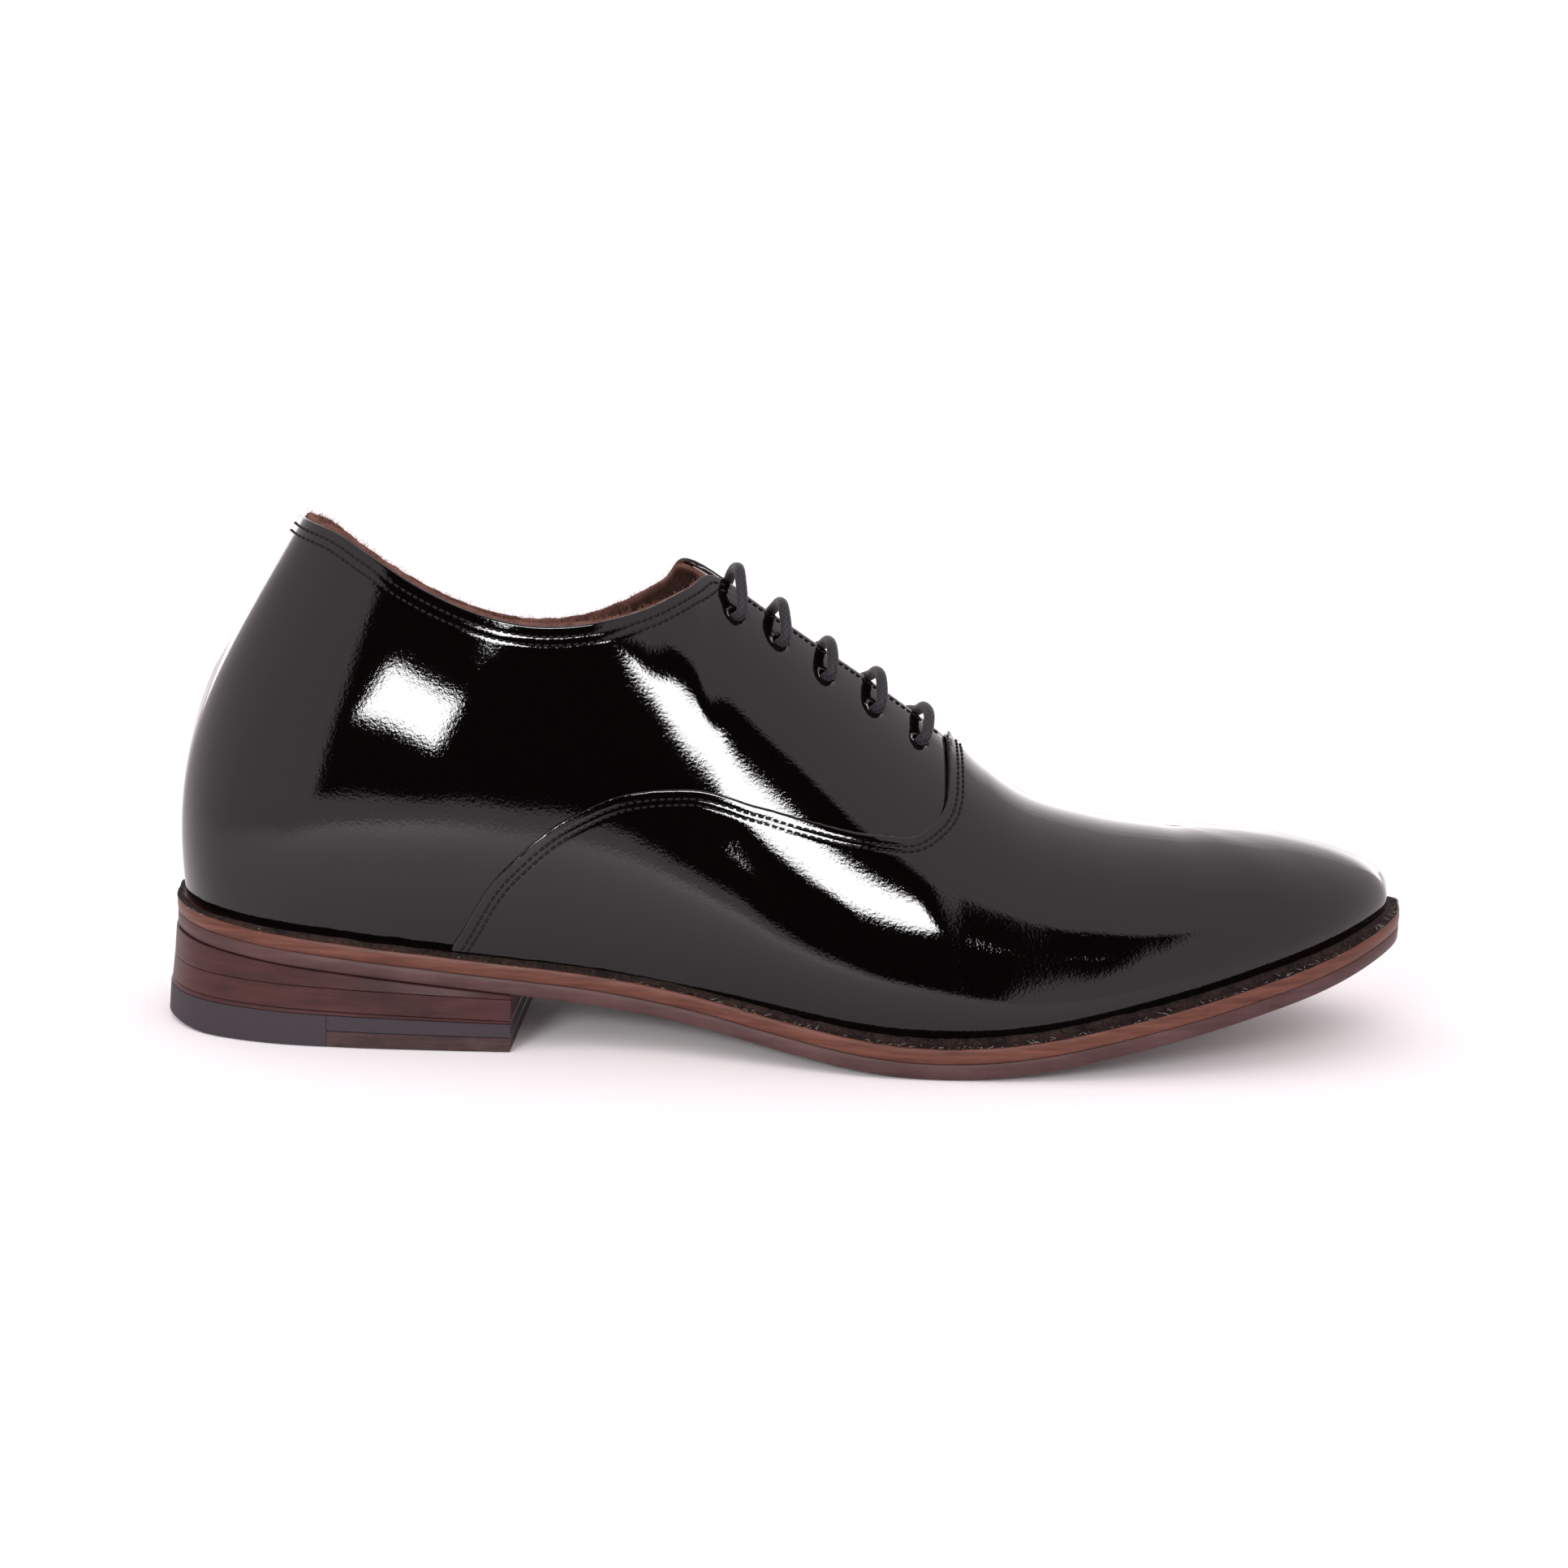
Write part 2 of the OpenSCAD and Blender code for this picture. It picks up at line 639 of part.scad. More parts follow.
module quarter_lining(side) {
    function foot(u) = seam_v(LINING_SEAM, min(u, 14)) + (u > LINING_SEAM[0][0] ? 0.012 : 0);
    function grid(extra) = [
        for (u = [for (q = QUARTER_COLUMNS) if (q < 14.2) q])
            strip(side, u, foot(u), quarter_head(u, facing_slit + 0.004) - 0.004, quarter_rows,
                function (u, v) -lining_depth(u, v) - extra)
    ];
    difference() {
        shell(grid(0), grid(lining_t), flip = side > 0);
        drills(side, barrel_d + 0.2);
    }
}

module quarter_lining_lateral() {
    color(lining_brown) placed() quarter_lining(-1);
}

module quarter_lining_medial() {
    color(lining_brown) placed() quarter_lining(1);
}

module heel_counter() {
    cols = [for (u = [5:-0.5:0.5]) [-1, u]];
    other = [for (u = [0:0.5:5]) [1, u]];
    function grid(off) = [
        for (c = concat(cols, other))
            strip(c[0], c[1], 0.02, 0.46 * (1 - 0.35 * ease(2, 5, c[1])), 7, function (u, v) off)
    ];
    color(board) placed() shell(grid(-1.6), grid(-3), flip = false);
}

module facing_stay(side) {
    cols = [for (u = [10.1:0.35:13.95]) u];
    function grid(off) = [
        for (u = cols)
            strip(side, u, 0.76, quarter_head(u, facing_slit) - 0.01, 4, function (u, v) off)
    ];
    difference() {
        shell(grid(-1.55), grid(-2), flip = side > 0);
        drills(side, barrel_d + 0.2);
    }
}

module facing_stay_lateral() {
    color(board) placed() facing_stay(-1);
}

module facing_stay_medial() {
    color(board) placed() facing_stay(1);
}

eyelet_top = -1.75;
eyelet_flange_d = 7.4;
eyelet_flange_t = 0.5;
module eyelet() {
    depth = 2.7 + lining_t;
    flange_r = eyelet_flange_d / 2;
    rotate_extrude($fn = 32)
        polygon([
            [eyelet_bore / 2, eyelet_top], [barrel_d / 2 - 0.02, eyelet_top],
            [barrel_d / 2 - 0.02, -depth], [flange_r, -depth],
            [flange_r, -depth - eyelet_flange_t], [eyelet_bore / 2, -depth - eyelet_flange_t]
        ]);
}

module blind_eyelets() {
    color(brass) placed()
        for (side = [-1, 1])
            for (k = [0:4])
                at_hole(side, k) eyelet();
}

// ---- tongue ----

TONGUE_COLUMNS = [for (u = [10:0.4:15.2]) u];
tongue_half = 0.26;
tongue_rows = 5;
tongue_in = tongue_out - tongue_t - 0.25;
// Across the shoe the tongue is one arch, from edge to edge over the middle
function tongue_strip(u, off) =
    let (
        left = skin(-1, u, 1 - tongue_half, off),
        top = (skin(-1, u, 1, off) + skin(1, u, 1, off)) / 2,
        right = skin(1, u, 1 - tongue_half, off)
    )
    [
        for (j = [-tongue_rows:tongue_rows])
            let (s = j / tongue_rows)
            top * (1 - s * s) + left * s * (s - 1) / 2 + right * s * (s + 1) / 2
    ];
module tongue_shell(off_out, off_in) {
    shell(
        [for (u = TONGUE_COLUMNS) tongue_strip(u, off_out)],
        [for (u = TONGUE_COLUMNS) tongue_strip(u, off_in)]
    );
}

module tongue() {
    color(dark_brown) placed() tongue_shell(tongue_out, tongue_out - tongue_t);
}

module tongue_lining() {
    color(lining_brown) placed()
        tongue_shell(tongue_in, tongue_in - lining_t);
}

// ---- lace ----

// Depth of the lace's centre line below the upper, where it runs inside the facings
lace_depth = -6.3;
// Rise of each bar's crest above its two holes; the first one is tied loosely
CREST_RISE = [9.4, 7.4, 6, 6.3, 5.3];
// A bar across the facings, from the inner side to the outer
function bar(k) =
    let (
        a = hole_at(1, k, 0),
        b = hole_at(-1, k, 0),
        na = hole_normal(1, k),
        nb = hole_normal(-1, k),
        crest = (a + b) / 2 + [1.6 + 0.3 * k, 0, CREST_RISE[k]]
    )
    [
        a + na * (lace_depth + 0.2), a - na * 2.6, a + na * 1.7,
        crest + [-1, 5.4, -1.6], crest + [0.3, 0, 0], crest + [1.2, -5.4, -1.2],
        b + nb * 1.7 + [0.6, 0, 0], b - nb * 2.6, b + nb * (lace_depth + 0.2)
    ];
// The run inside, from an outer hole across to the next inner hole
function dive(k) =
    let (
        from = HOLES_LATERAL[k],
        to = HOLES_MEDIAL[k + 1],
        u = [for (t = [0.25, 0.5, 0.75]) from + (to - from) * t]
    )
    [skin(-1, u[0], 0.94, lace_depth), skin(1, u[1], 1, lace_depth), skin(1, u[2], 0.94, lace_depth)];
// Both ends run back inside the quarters: [column, share of its height]
START_TAIL = [[9.5, 0.42], [9.6, 0.55], [9.9, 0.68], [10.2, 0.78]];
END_TAIL = [[13.5, 0.76], [13.1, 0.68], [12.3, 0.62], [11.4, 0.61], [10.5, 0.6], [9.8, 0.52],
    [9.5, 0.4]];
function lace_route() =
    concat(
        [for (p = START_TAIL) skin(1, p[0], p[1], lace_depth)],
        [for (k = [0:4]) each concat(bar(k), k < 4 ? dive(k) : [])],
        [for (p = END_TAIL) skin(-1, p[0], p[1], lace_depth)]
    );
lace_step = 0.34;
lace_sides = 8;
module lace() {
    route = lace_route();
    path = [for (u = [0:lace_step:len(route) - 1.001]) along(route, u)];
    count = len(path);
    function heading(i) = unit(path[min(count - 1, i + 1)] - path[max(0, i - 1)]);
    // The ring's first spoke is carried along, so the tube does not twist
    spokes = [
        for (i = 0, s = unit(cross(heading(0), [0, 1, 0])); i < count;
            i = i + 1,
            s = i < count ? unit(s - heading(i) * (s * heading(i))) : s) s
    ];
    points = [
        for (i = [0:count - 1], a = [0:lace_sides - 1])
            let (angle = 360 * a / lace_sides)
            path[i] + lace_d / 2 * (spokes[i] * cos(angle) + cross(heading(i), spokes[i]) * sin(angle))
    ];
    walls = [
        for (i = [0:count - 2], a = [0:lace_sides - 1])
            let (
                b = (a + 1) % lace_sides,
                p = i * lace_sides
            )
            each [
                [p + a, p + b, p + lace_sides + b],
                [p + a, p + lace_sides + b, p + lace_sides + a]
            ]
    ];
    ends = [
        [for (a = [0:lace_sides - 1]) lace_sides - 1 - a],
        [for (a = [0:lace_sides - 1]) (count - 1) * lace_sides + a]
    ];
    color(lace_grey) placed()
        polyhedron(points = points, faces = [for (f = concat(walls, ends)) [for (q = [len(f) - 1:-1:0]) f[q]]]);
}

tip_len = 14;
module lace_tip(p, towards) {
    n = unit(towards);
    translate(p + n * 0.3)
        rotate([0, acos(n[2]), atan2(n[1], n[0])])
            cylinder(d = lace_d, h = tip_len, $fn = 24);
}

module lace_tips() {
    route = lace_route();
    last = len(route) - 1;
    color(rubber_black) placed() {
        lace_tip(route[0], route[0] - route[1]);
        lace_tip(route[last], route[last] - route[last - 1]);
    }
}

welt_rear();
welt_fore();
outsole_rear();
outsole_fore();
cork_filler_rear();
cork_filler_fore();
shank();
insole_rear();
insole_fore();
height_wedge();
sock_rear();
sock_fore();
heel_seat_lift();
heel_main_lift();
heel_thin_lift();
heel_rubber();
heel_dark_layer();
heel_top_leather();
heel_nails();
vamp();
vamp_lining();
toe_puff();
quarter_lateral();
quarter_medial();
quarter_lining_lateral();
quarter_lining_medial();
heel_counter();
facing_stay_lateral();
facing_stay_medial();
blind_eyelets();
tongue();
tongue_lining();
lace();
lace_tips();
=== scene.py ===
import math

import bmesh
import bpy
import numpy as np
from mathutils import Matrix, Vector
from mathutils.kdtree import KDTree


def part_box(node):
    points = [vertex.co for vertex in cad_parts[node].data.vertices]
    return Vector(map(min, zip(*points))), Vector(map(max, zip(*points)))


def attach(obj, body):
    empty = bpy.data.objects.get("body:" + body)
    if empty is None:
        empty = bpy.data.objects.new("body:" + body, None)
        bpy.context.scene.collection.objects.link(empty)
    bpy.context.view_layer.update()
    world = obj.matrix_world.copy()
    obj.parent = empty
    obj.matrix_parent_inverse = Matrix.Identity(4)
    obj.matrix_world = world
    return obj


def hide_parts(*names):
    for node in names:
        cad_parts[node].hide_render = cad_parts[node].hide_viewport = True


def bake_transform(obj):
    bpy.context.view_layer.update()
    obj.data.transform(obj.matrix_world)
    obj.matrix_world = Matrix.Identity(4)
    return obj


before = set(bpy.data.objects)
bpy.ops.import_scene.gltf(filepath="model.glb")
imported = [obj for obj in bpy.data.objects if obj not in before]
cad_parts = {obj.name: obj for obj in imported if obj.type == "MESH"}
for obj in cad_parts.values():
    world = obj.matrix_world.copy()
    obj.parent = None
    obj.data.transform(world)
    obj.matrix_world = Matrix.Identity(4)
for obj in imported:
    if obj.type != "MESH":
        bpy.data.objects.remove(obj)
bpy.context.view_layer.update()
rng = np.random.default_rng(41)

# ---- design tables, in mm ----

WELT_TOP = [
    [-2, 30.1], [7, 29], [20, 27.3], [29, 26.1], [45, 24.4], [60, 22.9], [86, 20.3],
    [109, 17.7], [132, 14.4], [154, 10.5], [169, 8.3], [184, 7.2], [199, 7.7], [214, 9.6],
    [232, 13.2], [248, 16.8], [264, 20.7], [282, 25.1], [297, 29.4], [309, 32.8],
]
FEATHER_LATERAL = [
    [2.8, 0], [6.5, -14], [16, -24.5], [32, -30.3], [50, -32.3], [68, -33], [86, -33],
    [104, -32.5], [121, -33.8], [136, -36.8], [149, -40.3], [162, -43.6], [174, -45.9],
    [185, -46.6], [194, -46.7], [205, -46.3], [219, -44.8], [236, -41.8], [254, -37.2],
    [272, -30.2], [287, -21], [298, -10], [302.6, 1.5],
]
FEATHER_MEDIAL = [
    [2.8, 0], [6.5, 14], [16, 24], [32, 29], [50, 30], [68, 29], [86, 26.5],
    [104, 24.3], [121, 24], [136, 25.8], [149, 29], [162, 33.3], [174, 37.6],
    [185, 41.2], [194, 43.5], [205, 44.8], [219, 44.8], [236, 42.4], [254, 37.8],
    [272, 31], [287, 22], [298, 12], [302.6, 1.5],
]
RIDGE = [
    [146.2, 0, 101.9], [161.3, 0, 92.1], [176.4, 0, 82.2], [189.4, 0, 72.6], [199.5, 0, 63.4],
    [212.6, 0, 55.3], [229.6, 0, 50.8], [245.6, 0, 48.8], [251.6, 0, 48.5], [251.6, 0, 48.5],
    [251.6, 0, 48.5], [251.6, 0, 48.5],
]
TOP_LATERAL = [
    [31.8, 0, 122.2], [36.4, -9.2, 121], [45, -15.6, 118.1], [54.1, -20.5, 112.9],
    [66.1, -24.6, 106.3], [79.2, -26.8, 101.1], [92.2, -27, 98.7], [105.2, -24.8, 99.5],
    [117.2, -19, 102.7], [126.6, -10.5, 107.3], [132.6, -2.5, 110],
] + RIDGE
TOP_MEDIAL = [
    [31.8, 0, 122.2], [36.4, 9.2, 120], [45, 15.6, 112.7], [54.1, 20.3, 106.4],
    [65.2, 23.8, 100.5], [76.2, 25.5, 96.8], [87.2, 25.5, 95.5], [99.2, 22.8, 97.2],
    [110.2, 17.2, 102], [119.6, 9.5, 108.2], [126.6, 2.5, 113.7],
] + RIDGE
RISE = [
    [-3.4, 0, 38.9], [-3, -2.5, 35.5], [-2, -4.5, 30], [0, -5.5, 26], [0, -6, 26], [0, -6.6, 25.9],
    [0, -5.8, 27], [0, -5, 28.1], [0, -4.7, 27.8], [0, -5.6, 27], [0, -7.2, 25.7],
    [0, -7.3, 24.4], [0, -8, 23.6], [0, -8.6, 22.3], [0, -6.7, 20.7], [0, -4.8, 17.8],
    [0.5, -3.2, 15.1], [1, -3.2, 13.6], [1.5, -3.3, 12.2], [2, -3.4, 11.8], [2.8, -3, 11.5],
    [3.4, -1.5, 10.5], [3.5, 0, 10],
]
CROWN = [
    [-24.1, 0, -40.1], [-21.1, -7, -37.6], [-15, -10, -34.2], [-9, -10, -30], [-5, -9, -28],
    [-3, -7.4, -26.3], [-1, -6.1, -26.2], [1, -7.3, -26.1], [2, -12, -23.4], [2, -16.7, -18.2],
    [1, -18.3, -12.7], [0, -18.8, -8.7], [0, -19, -9.3], [0, -19.8, -8.6], [0, -20.8, -4.7],
    [0, -23.5, -1], [0, -25.8, 0.3], [0, -24.9, 0.3], [4, -23, 0.4], [16, -19, 0.2],
    [25, -12, 0], [30, -5.5, 0], [32, 0, 0],
]
LEDGE = [
    1.8, 1.9, 2.2, 2.6, 2.8, 2.8, 3, 3.2, 3.6, 4.2, 4.8, 5.4, 5.8, 6, 6.2, 6.3,
    6.4, 6.4, 6.4, 6.3, 5.8, 5.2, 4.8,
]
VAMP_SEAM = [
    [5.32, 0.01], [5.5, 0.085], [5.75, 0.2], [6, 0.28], [6.5, 0.395], [7, 0.46], [7.5, 0.495],
    [8, 0.5], [8.5, 0.49], [9, 0.475], [9.5, 0.455], [10, 0.44], [10.5, 0.44], [11, 0.445],
    [11.5, 0.455], [12, 0.47], [12.5, 0.49], [13, 0.515], [13.4, 0.56], [13.7, 0.61],
    [13.88, 0.67], [13.98, 0.75], [14.05, 0.84], [14.09, 0.92], [14.1, 1],
]
LINING_SEAM = [
    [6.6, 0.01], [6.9, 0.12], [7.3, 0.26], [7.7, 0.34], [8.2, 0.4], [9, 0.42], [10, 0.41],
    [11, 0.42], [12, 0.44], [13, 0.49], [13.5, 0.53], [13.9, 0.6], [14.15, 0.7],
    [14.3, 0.83], [14.36, 1],
]
HOLES = {-1: [10.4, 11.15, 11.9, 12.7, 13.5], 1: [10.35, 10.85, 11.6, 12.4, 13.25]}
HOLE_V = {-1: [0.87, 0.87, 0.86, 0.86, 0.845], 1: [0.86, 0.86, 0.86, 0.86, 0.86]}
LAST = 22
POLE_FROM = 18
RISE_GAP = 1.2
WELT_T = 3.5
OUTSOLE_T = 3.7
HEEL_LEN = 88
RUBBER_LEN = 45
LEATHER_T = 1.3
LINING_T = 1.1
VAMP_IN = 0.15
QUARTER_OUT = -0.1
SLIT = 0.014
UNDERLAY = 0.09
HOLE_COUNT = 5
HOLE_R = 2.0
LACE_R = 1.35
LACE_DEPTH = -6.3
CREST_RISE = [9.4, 7.4, 6, 6.3, 5.3]
TONGUE_OUT = -10.6
TONGUE_T = 1.2
TONGUE_HALF = 0.26
LATERAL, MEDIAL = -1, 1
# Distances of the stitch rows from the cut edges, and of the groove along the facings
VAMP_ROWS = (2.2, 3.6)
TOPLINE_ROWS = (2.5, 4.5)
FACING_ROW = 1.7
FACING_GROOVE = 1.6

# ---- curves ----


def glide(table, u):
    """Smooth curve through evenly numbered rows."""
    rows = np.asarray(table, float)
    if rows.ndim == 1:
        rows = rows[:, None]
    rows = np.vstack([2 * rows[0] - rows[1], rows, 2 * rows[-1] - rows[-2]])
    u = np.asarray(u, float)
    i = np.clip(np.floor(u).astype(int), 0, len(rows) - 4)
    t = (u - i)[..., None]
    a, b, c, d = rows[i], rows[i + 1], rows[i + 2], rows[i + 3]
    square, cube = 2 * a - 5 * b + 4 * c - d, 3 * b - a - 3 * c + d
    return 0.5 * (2 * b + (c - a) * t + square * t * t + cube * t ** 3)


def curve(table, x):
    """Smooth curve through [x, value] rows."""
    rows = np.asarray(table, float)
    xs, ys = rows[:, 0], rows[:, 1]
    n = np.arange(len(xs))
    hi, lo = np.minimum(n + 1, len(xs) - 1), np.maximum(n - 1, 0)
    slopes = (ys[hi] - ys[lo]) / (xs[hi] - xs[lo])
    x = np.asarray(x, float)
    i = np.searchsorted(xs[1:-1], x, side="left")
    h = xs[i + 1] - xs[i]
    t = np.clip((x - xs[i]) / h, 0, 1)
    s = 1 - t
    ends = ys[i] * (1 + 2 * t) * s * s + ys[i + 1] * t * t * (3 - 2 * t)
    return ends + slopes[i] * h * t * s * s + slopes[i + 1] * h * t * t * (t - 1)


def ease(a, b, x):
    t = np.clip((np.asarray(x, float) - a) / (b - a), 0, 1)
    return t * t * (3 - 2 * t)


def unit(v):
    return v / np.maximum(np.linalg.norm(v, axis=-1, keepdims=True), 1e-9)


def run_length(points):
    """Distance along a line at each of its points."""
    return np.concatenate([[0], np.cumsum(np.linalg.norm(np.diff(points, axis=0), axis=1))])


def welt_z(x):
    return curve(WELT_TOP, x)


def feather(side, u):
    return glide(FEATHER_LATERAL if side < 0 else FEATHER_MEDIAL, u)


def on_upper(side, u, v):
    """Point of the upper: column u, 0 at the heel to LAST at the toe, and share v of its height."""
    u, v = np.broadcast_arrays(np.asarray(u, float), np.asarray(v, float))
    f = feather(side, u)
    low = np.concatenate([f, (welt_z(f[..., 0]) + RISE_GAP)[..., None]], -1)
    flip = np.array([1, -side, 1.0])
    high = glide(TOP_LATERAL if side < 0 else TOP_MEDIAL, u)
    p1 = low + glide(RISE, u) * flip
    p2 = high + glide(CROWN, u) * flip
    t = v[..., None]
    s = 1 - t
    return low * s ** 3 + p1 * 3 * t * s * s + p2 * 3 * t * t * s + high * t ** 3


def normal(side, u, v):
    u, v = np.broadcast_arrays(np.asarray(u, float), np.asarray(v, float))
    w = np.clip(v, 0.01, 0.97)
    du = on_upper(side, np.minimum(LAST, u + 0.03), w) - on_upper(side, np.maximum(0, u - 0.03), w)
    dv = on_upper(side, u, w + 0.005) - on_upper(side, u, w - 0.005)
    n = side * np.cross(dv, du)
    centred = (u <= 0) | (u >= LAST) | ((v > 0.999) & (u >= 11))
    n[..., 1] = np.where(centred, 0, n[..., 1])
    return unit(n)


def skin(side, u, v, off):
    off = np.asarray(off, float)
    return on_upper(side, u, v) + normal(side, u, v) * off[..., None]


def hole_point(side, k, off):
    return skin(side, HOLES[side][k], HOLE_V[side][k], off)


def hole_normal(side, k):
    return normal(side, HOLES[side][k], HOLE_V[side][k])


def lining_depth(u, v):
    deep = (1 - ease(4.6, 6.6, u)) * (1 - ease(0.45, 0.7, v))
    return 1.65 + 1.6 * deep + 0.5 * ease(8.6, 10, u)


def edge_normal(side, u):
    u = np.asarray(u, float)
    d = feather(side, np.minimum(LAST, u + 0.05)) - feather(side, np.maximum(0, u - 0.05))
    d = unit(d) * -side
    n = np.stack([d[..., 1], -d[..., 0]], -1)
    n = np.where((u <= 0)[..., None], np.array([-1.0, 0]), n)
    return np.where((u >= LAST)[..., None], np.array([1.0, 0]), n)


def edge_point(side, u, out):
    """Point of the sole's outline: out is measured from the feather line."""
    return feather(side, u) + edge_normal(side, u) * np.asarray(out, float)[..., None]


def raised(xy, z):
    return np.concatenate([xy, z[:, None]], 1)


def ledge(u):
    return glide(LEDGE, u)[..., 0]


# ---- placing the tables in the frame ----

outline_u = np.arange(0, LAST + 0.1, 0.5)
outline_xy = edge_point(LATERAL, outline_u, ledge(outline_u))
sole_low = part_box("welt_rear")[0]
fore_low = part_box("welt_fore")[0]
SHIFT = np.array([
    sole_low.x * 1000 - outline_xy[:, 0].min(),
    min(sole_low.y, fore_low.y) * 1000 - outline_xy[:, 1].min(),
    0.0,
])


def metres(points):
    return (np.asarray(points, float) + SHIFT) / 1000


# ---- mesh building ----


def clean_faces(quads):
    """Quads with repeated corners become triangles or vanish."""
    quads = np.asarray(quads)
    same = [quads[:, k] == quads[:, (k + 1) % 4] for k in range(4)]
    bad = same[0] | same[1] | same[2] | same[3] | (quads[:, 0] == quads[:, 2]) | (quads[:, 1] == quads[:, 3])
    faces = quads[~bad].tolist()
    for q in quads[bad].tolist():
        left = list(dict.fromkeys(q))
        if len(left) == 3:
            faces.append(left)
    return faces


def grid_quads(ids):
    a, b, c, d = ids[:-1, :-1], ids[1:, :-1], ids[1:, 1:], ids[:-1, 1:]
    return np.stack([a, b, c, d], -1).reshape(-1, 4)


def wrapped(ids):
    """A grid of point numbers closed round by repeating its first column."""
    return np.hstack([ids, ids[:, :1]])


def sheet_faces(shape):
    return clean_faces(grid_quads(np.arange(shape[0] * shape[1]).reshape(shape)))


def open_edges(faces):
    """Edges that only one face uses."""
    count = {}
    for f in faces:
        for a, b in zip(f, f[1:] + f[:1]):
            key = (a, b) if a < b else (b, a)
            count[key] = count.get(key, 0) + 1
    return [key for key, n in count.items() if n == 1]


def add_mesh(name, points, faces, material, smooth=True, fields=None):
    """A mesh object from table-frame points; unused points are dropped and faces turned outward."""
    points = np.asarray(points, float)
    used = np.zeros(len(points), bool)
    used[np.fromiter((i for f in faces for i in f), int)] = True
    index = np.cumsum(used) - 1
    faces = [[int(index[i]) for i in f] for f in faces]
    mesh = bpy.data.meshes.new(name)
    mesh.from_pydata(metres(points[used]).tolist(), [], faces)
    rest = mesh.attributes.new("rest_mm", "FLOAT_VECTOR", "POINT")
    rest.data.foreach_set("vector", points[used].astype(np.float32).ravel())
    for key, values in (fields or {}).items():
        attribute = mesh.attributes.new(key, "FLOAT", "POINT")
        attribute.data.foreach_set("value", np.asarray(values, np.float32)[used].ravel())
    bm = bmesh.new()
    bm.from_mesh(mesh)
    bmesh.ops.recalc_face_normals(bm, faces=bm.faces)
    bm.to_mesh(mesh)
    bm.free()
    mesh.shade_smooth() if smooth else mesh.shade_flat()
    mesh.materials.append(material)
    o = bpy.data.objects.new(name, mesh)
    bpy.context.scene.collection.objects.link(o)
    return o


def shell_faces(faces, n):
    """Closes a sheet of faces and its copy n points on with walls along every open edge."""
    back = [[i + n for i in reversed(f)] for f in faces]
    walls = [[a, b, b + n, a + n] for a, b in open_edges(faces)]
    return faces + back + walls


def bends(o, *nodes):
    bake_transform(o)
    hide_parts(*nodes)
    return o


def rides(o, body, *nodes):
    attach(o, body)
    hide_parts(*nodes)
    return o


# ---- materials ----


class Look:
    """A Principled material and short ways to add nodes to it."""

    def __init__(self, name, own=True):
        """own: the mesh carries its unbent place in rest_mm, so that patterns stay put when it bends."""
        self.material = bpy.data.materials.new(name)
        self.material.use_nodes = True
        self.nodes = self.material.node_tree.nodes
        self.links = self.material.node_tree.links
        self.bsdf = self.nodes["Principled BSDF"]
        if own:
            place = self.nodes.new("ShaderNodeAttribute")
            place.attribute_name = "rest_mm"
            self.place = place.outputs["Vector"]
        else:
            place = self.nodes.new("ShaderNodeTexCoord")
            grow = self.nodes.new("ShaderNodeVectorMath")
            grow.operation = "SCALE"
            grow.inputs["Scale"].default_value = 1000
            self.links.new(place.outputs["Object"], grow.inputs[0])
            self.place = grow.outputs["Vector"]

    def set(self, **values):
        for key, value in values.items():
            self.bsdf.inputs[key.replace("_", " ")].default_value = value

    def stretch(self, x, y, z):
        m = self.nodes.new("ShaderNodeVectorMath")
        m.operation = "MULTIPLY"
        self.links.new(self.place, m.inputs[0])
        m.inputs[1].default_value = (x, y, z)
        return m.outputs["Vector"]

    def noise(self, scale, detail=3, rough=0.55, vector=None):
        n = self.nodes.new("ShaderNodeTexNoise")
        n.inputs["Scale"].default_value = scale
        n.inputs["Detail"].default_value = detail
        n.inputs["Roughness"].default_value = rough
        self.links.new(vector or self.place, n.inputs["Vector"])
        return n.outputs["Fac"]

    def field(self, name):
        a = self.nodes.new("ShaderNodeAttribute")
        a.attribute_name = name
        return a.outputs["Fac"]

    def math(self, operation, a, b):
        m = self.nodes.new("ShaderNodeMath")
        m.operation = operation
        for k, value in enumerate((a, b)):
            if isinstance(value, (int, float)):
                m.inputs[k].default_value = value
            else:
                self.links.new(value, m.inputs[k])
        return m.outputs["Value"]

    def weighted(self, a, share_a, b, share_b):
        return self.math("ADD", self.math("MULTIPLY", a, share_a), self.math("MULTIPLY", b, share_b))

    def span(self, value, a, b, to_a=0.0, to_b=1.0):
        m = self.nodes.new("ShaderNodeMapRange")
        self.links.new(value, m.inputs["Value"])
        m.inputs["From Min"].default_value = a
        m.inputs["From Max"].default_value = b
        m.inputs["To Min"].default_value = to_a
        m.inputs["To Max"].default_value = to_b
        return m.outputs["Result"]

    def mix(self, factor, a, b):
        m = self.nodes.new("ShaderNodeMix")
        m.data_type = "RGBA"
        self.links.new(factor, m.inputs["Factor"])
        for key, value in (("A", a), ("B", b)):
            socket = next(s for s in m.inputs if s.name == key and s.type == "RGBA")
            if isinstance(value, tuple):
                socket.default_value = (*value, 1)
            else:
                self.links.new(value, socket)
        return next(s for s in m.outputs if s.type == "RGBA")

    def colour(self, value):
        self.links.new(value, self.bsdf.inputs["Base Color"])

    def feed(self, name, value):
        self.links.new(value, self.bsdf.inputs[name])

    def bump(self, height, distance, coat=False):
        """Shades as if the surface rose by height times distance, in mm; coat: the clear layer too."""
        b = self.nodes.new("ShaderNodeBump")
        b.inputs["Strength"].default_value = 1.0
        b.inputs["Distance"].default_value = distance / 1000
        self.links.new(height, b.inputs["Height"])
        self.links.new(b.outputs["Normal"], self.bsdf.inputs["Normal"])
        if coat:
            self.links.new(b.outputs["Normal"], self.bsdf.inputs["Coat Normal"])


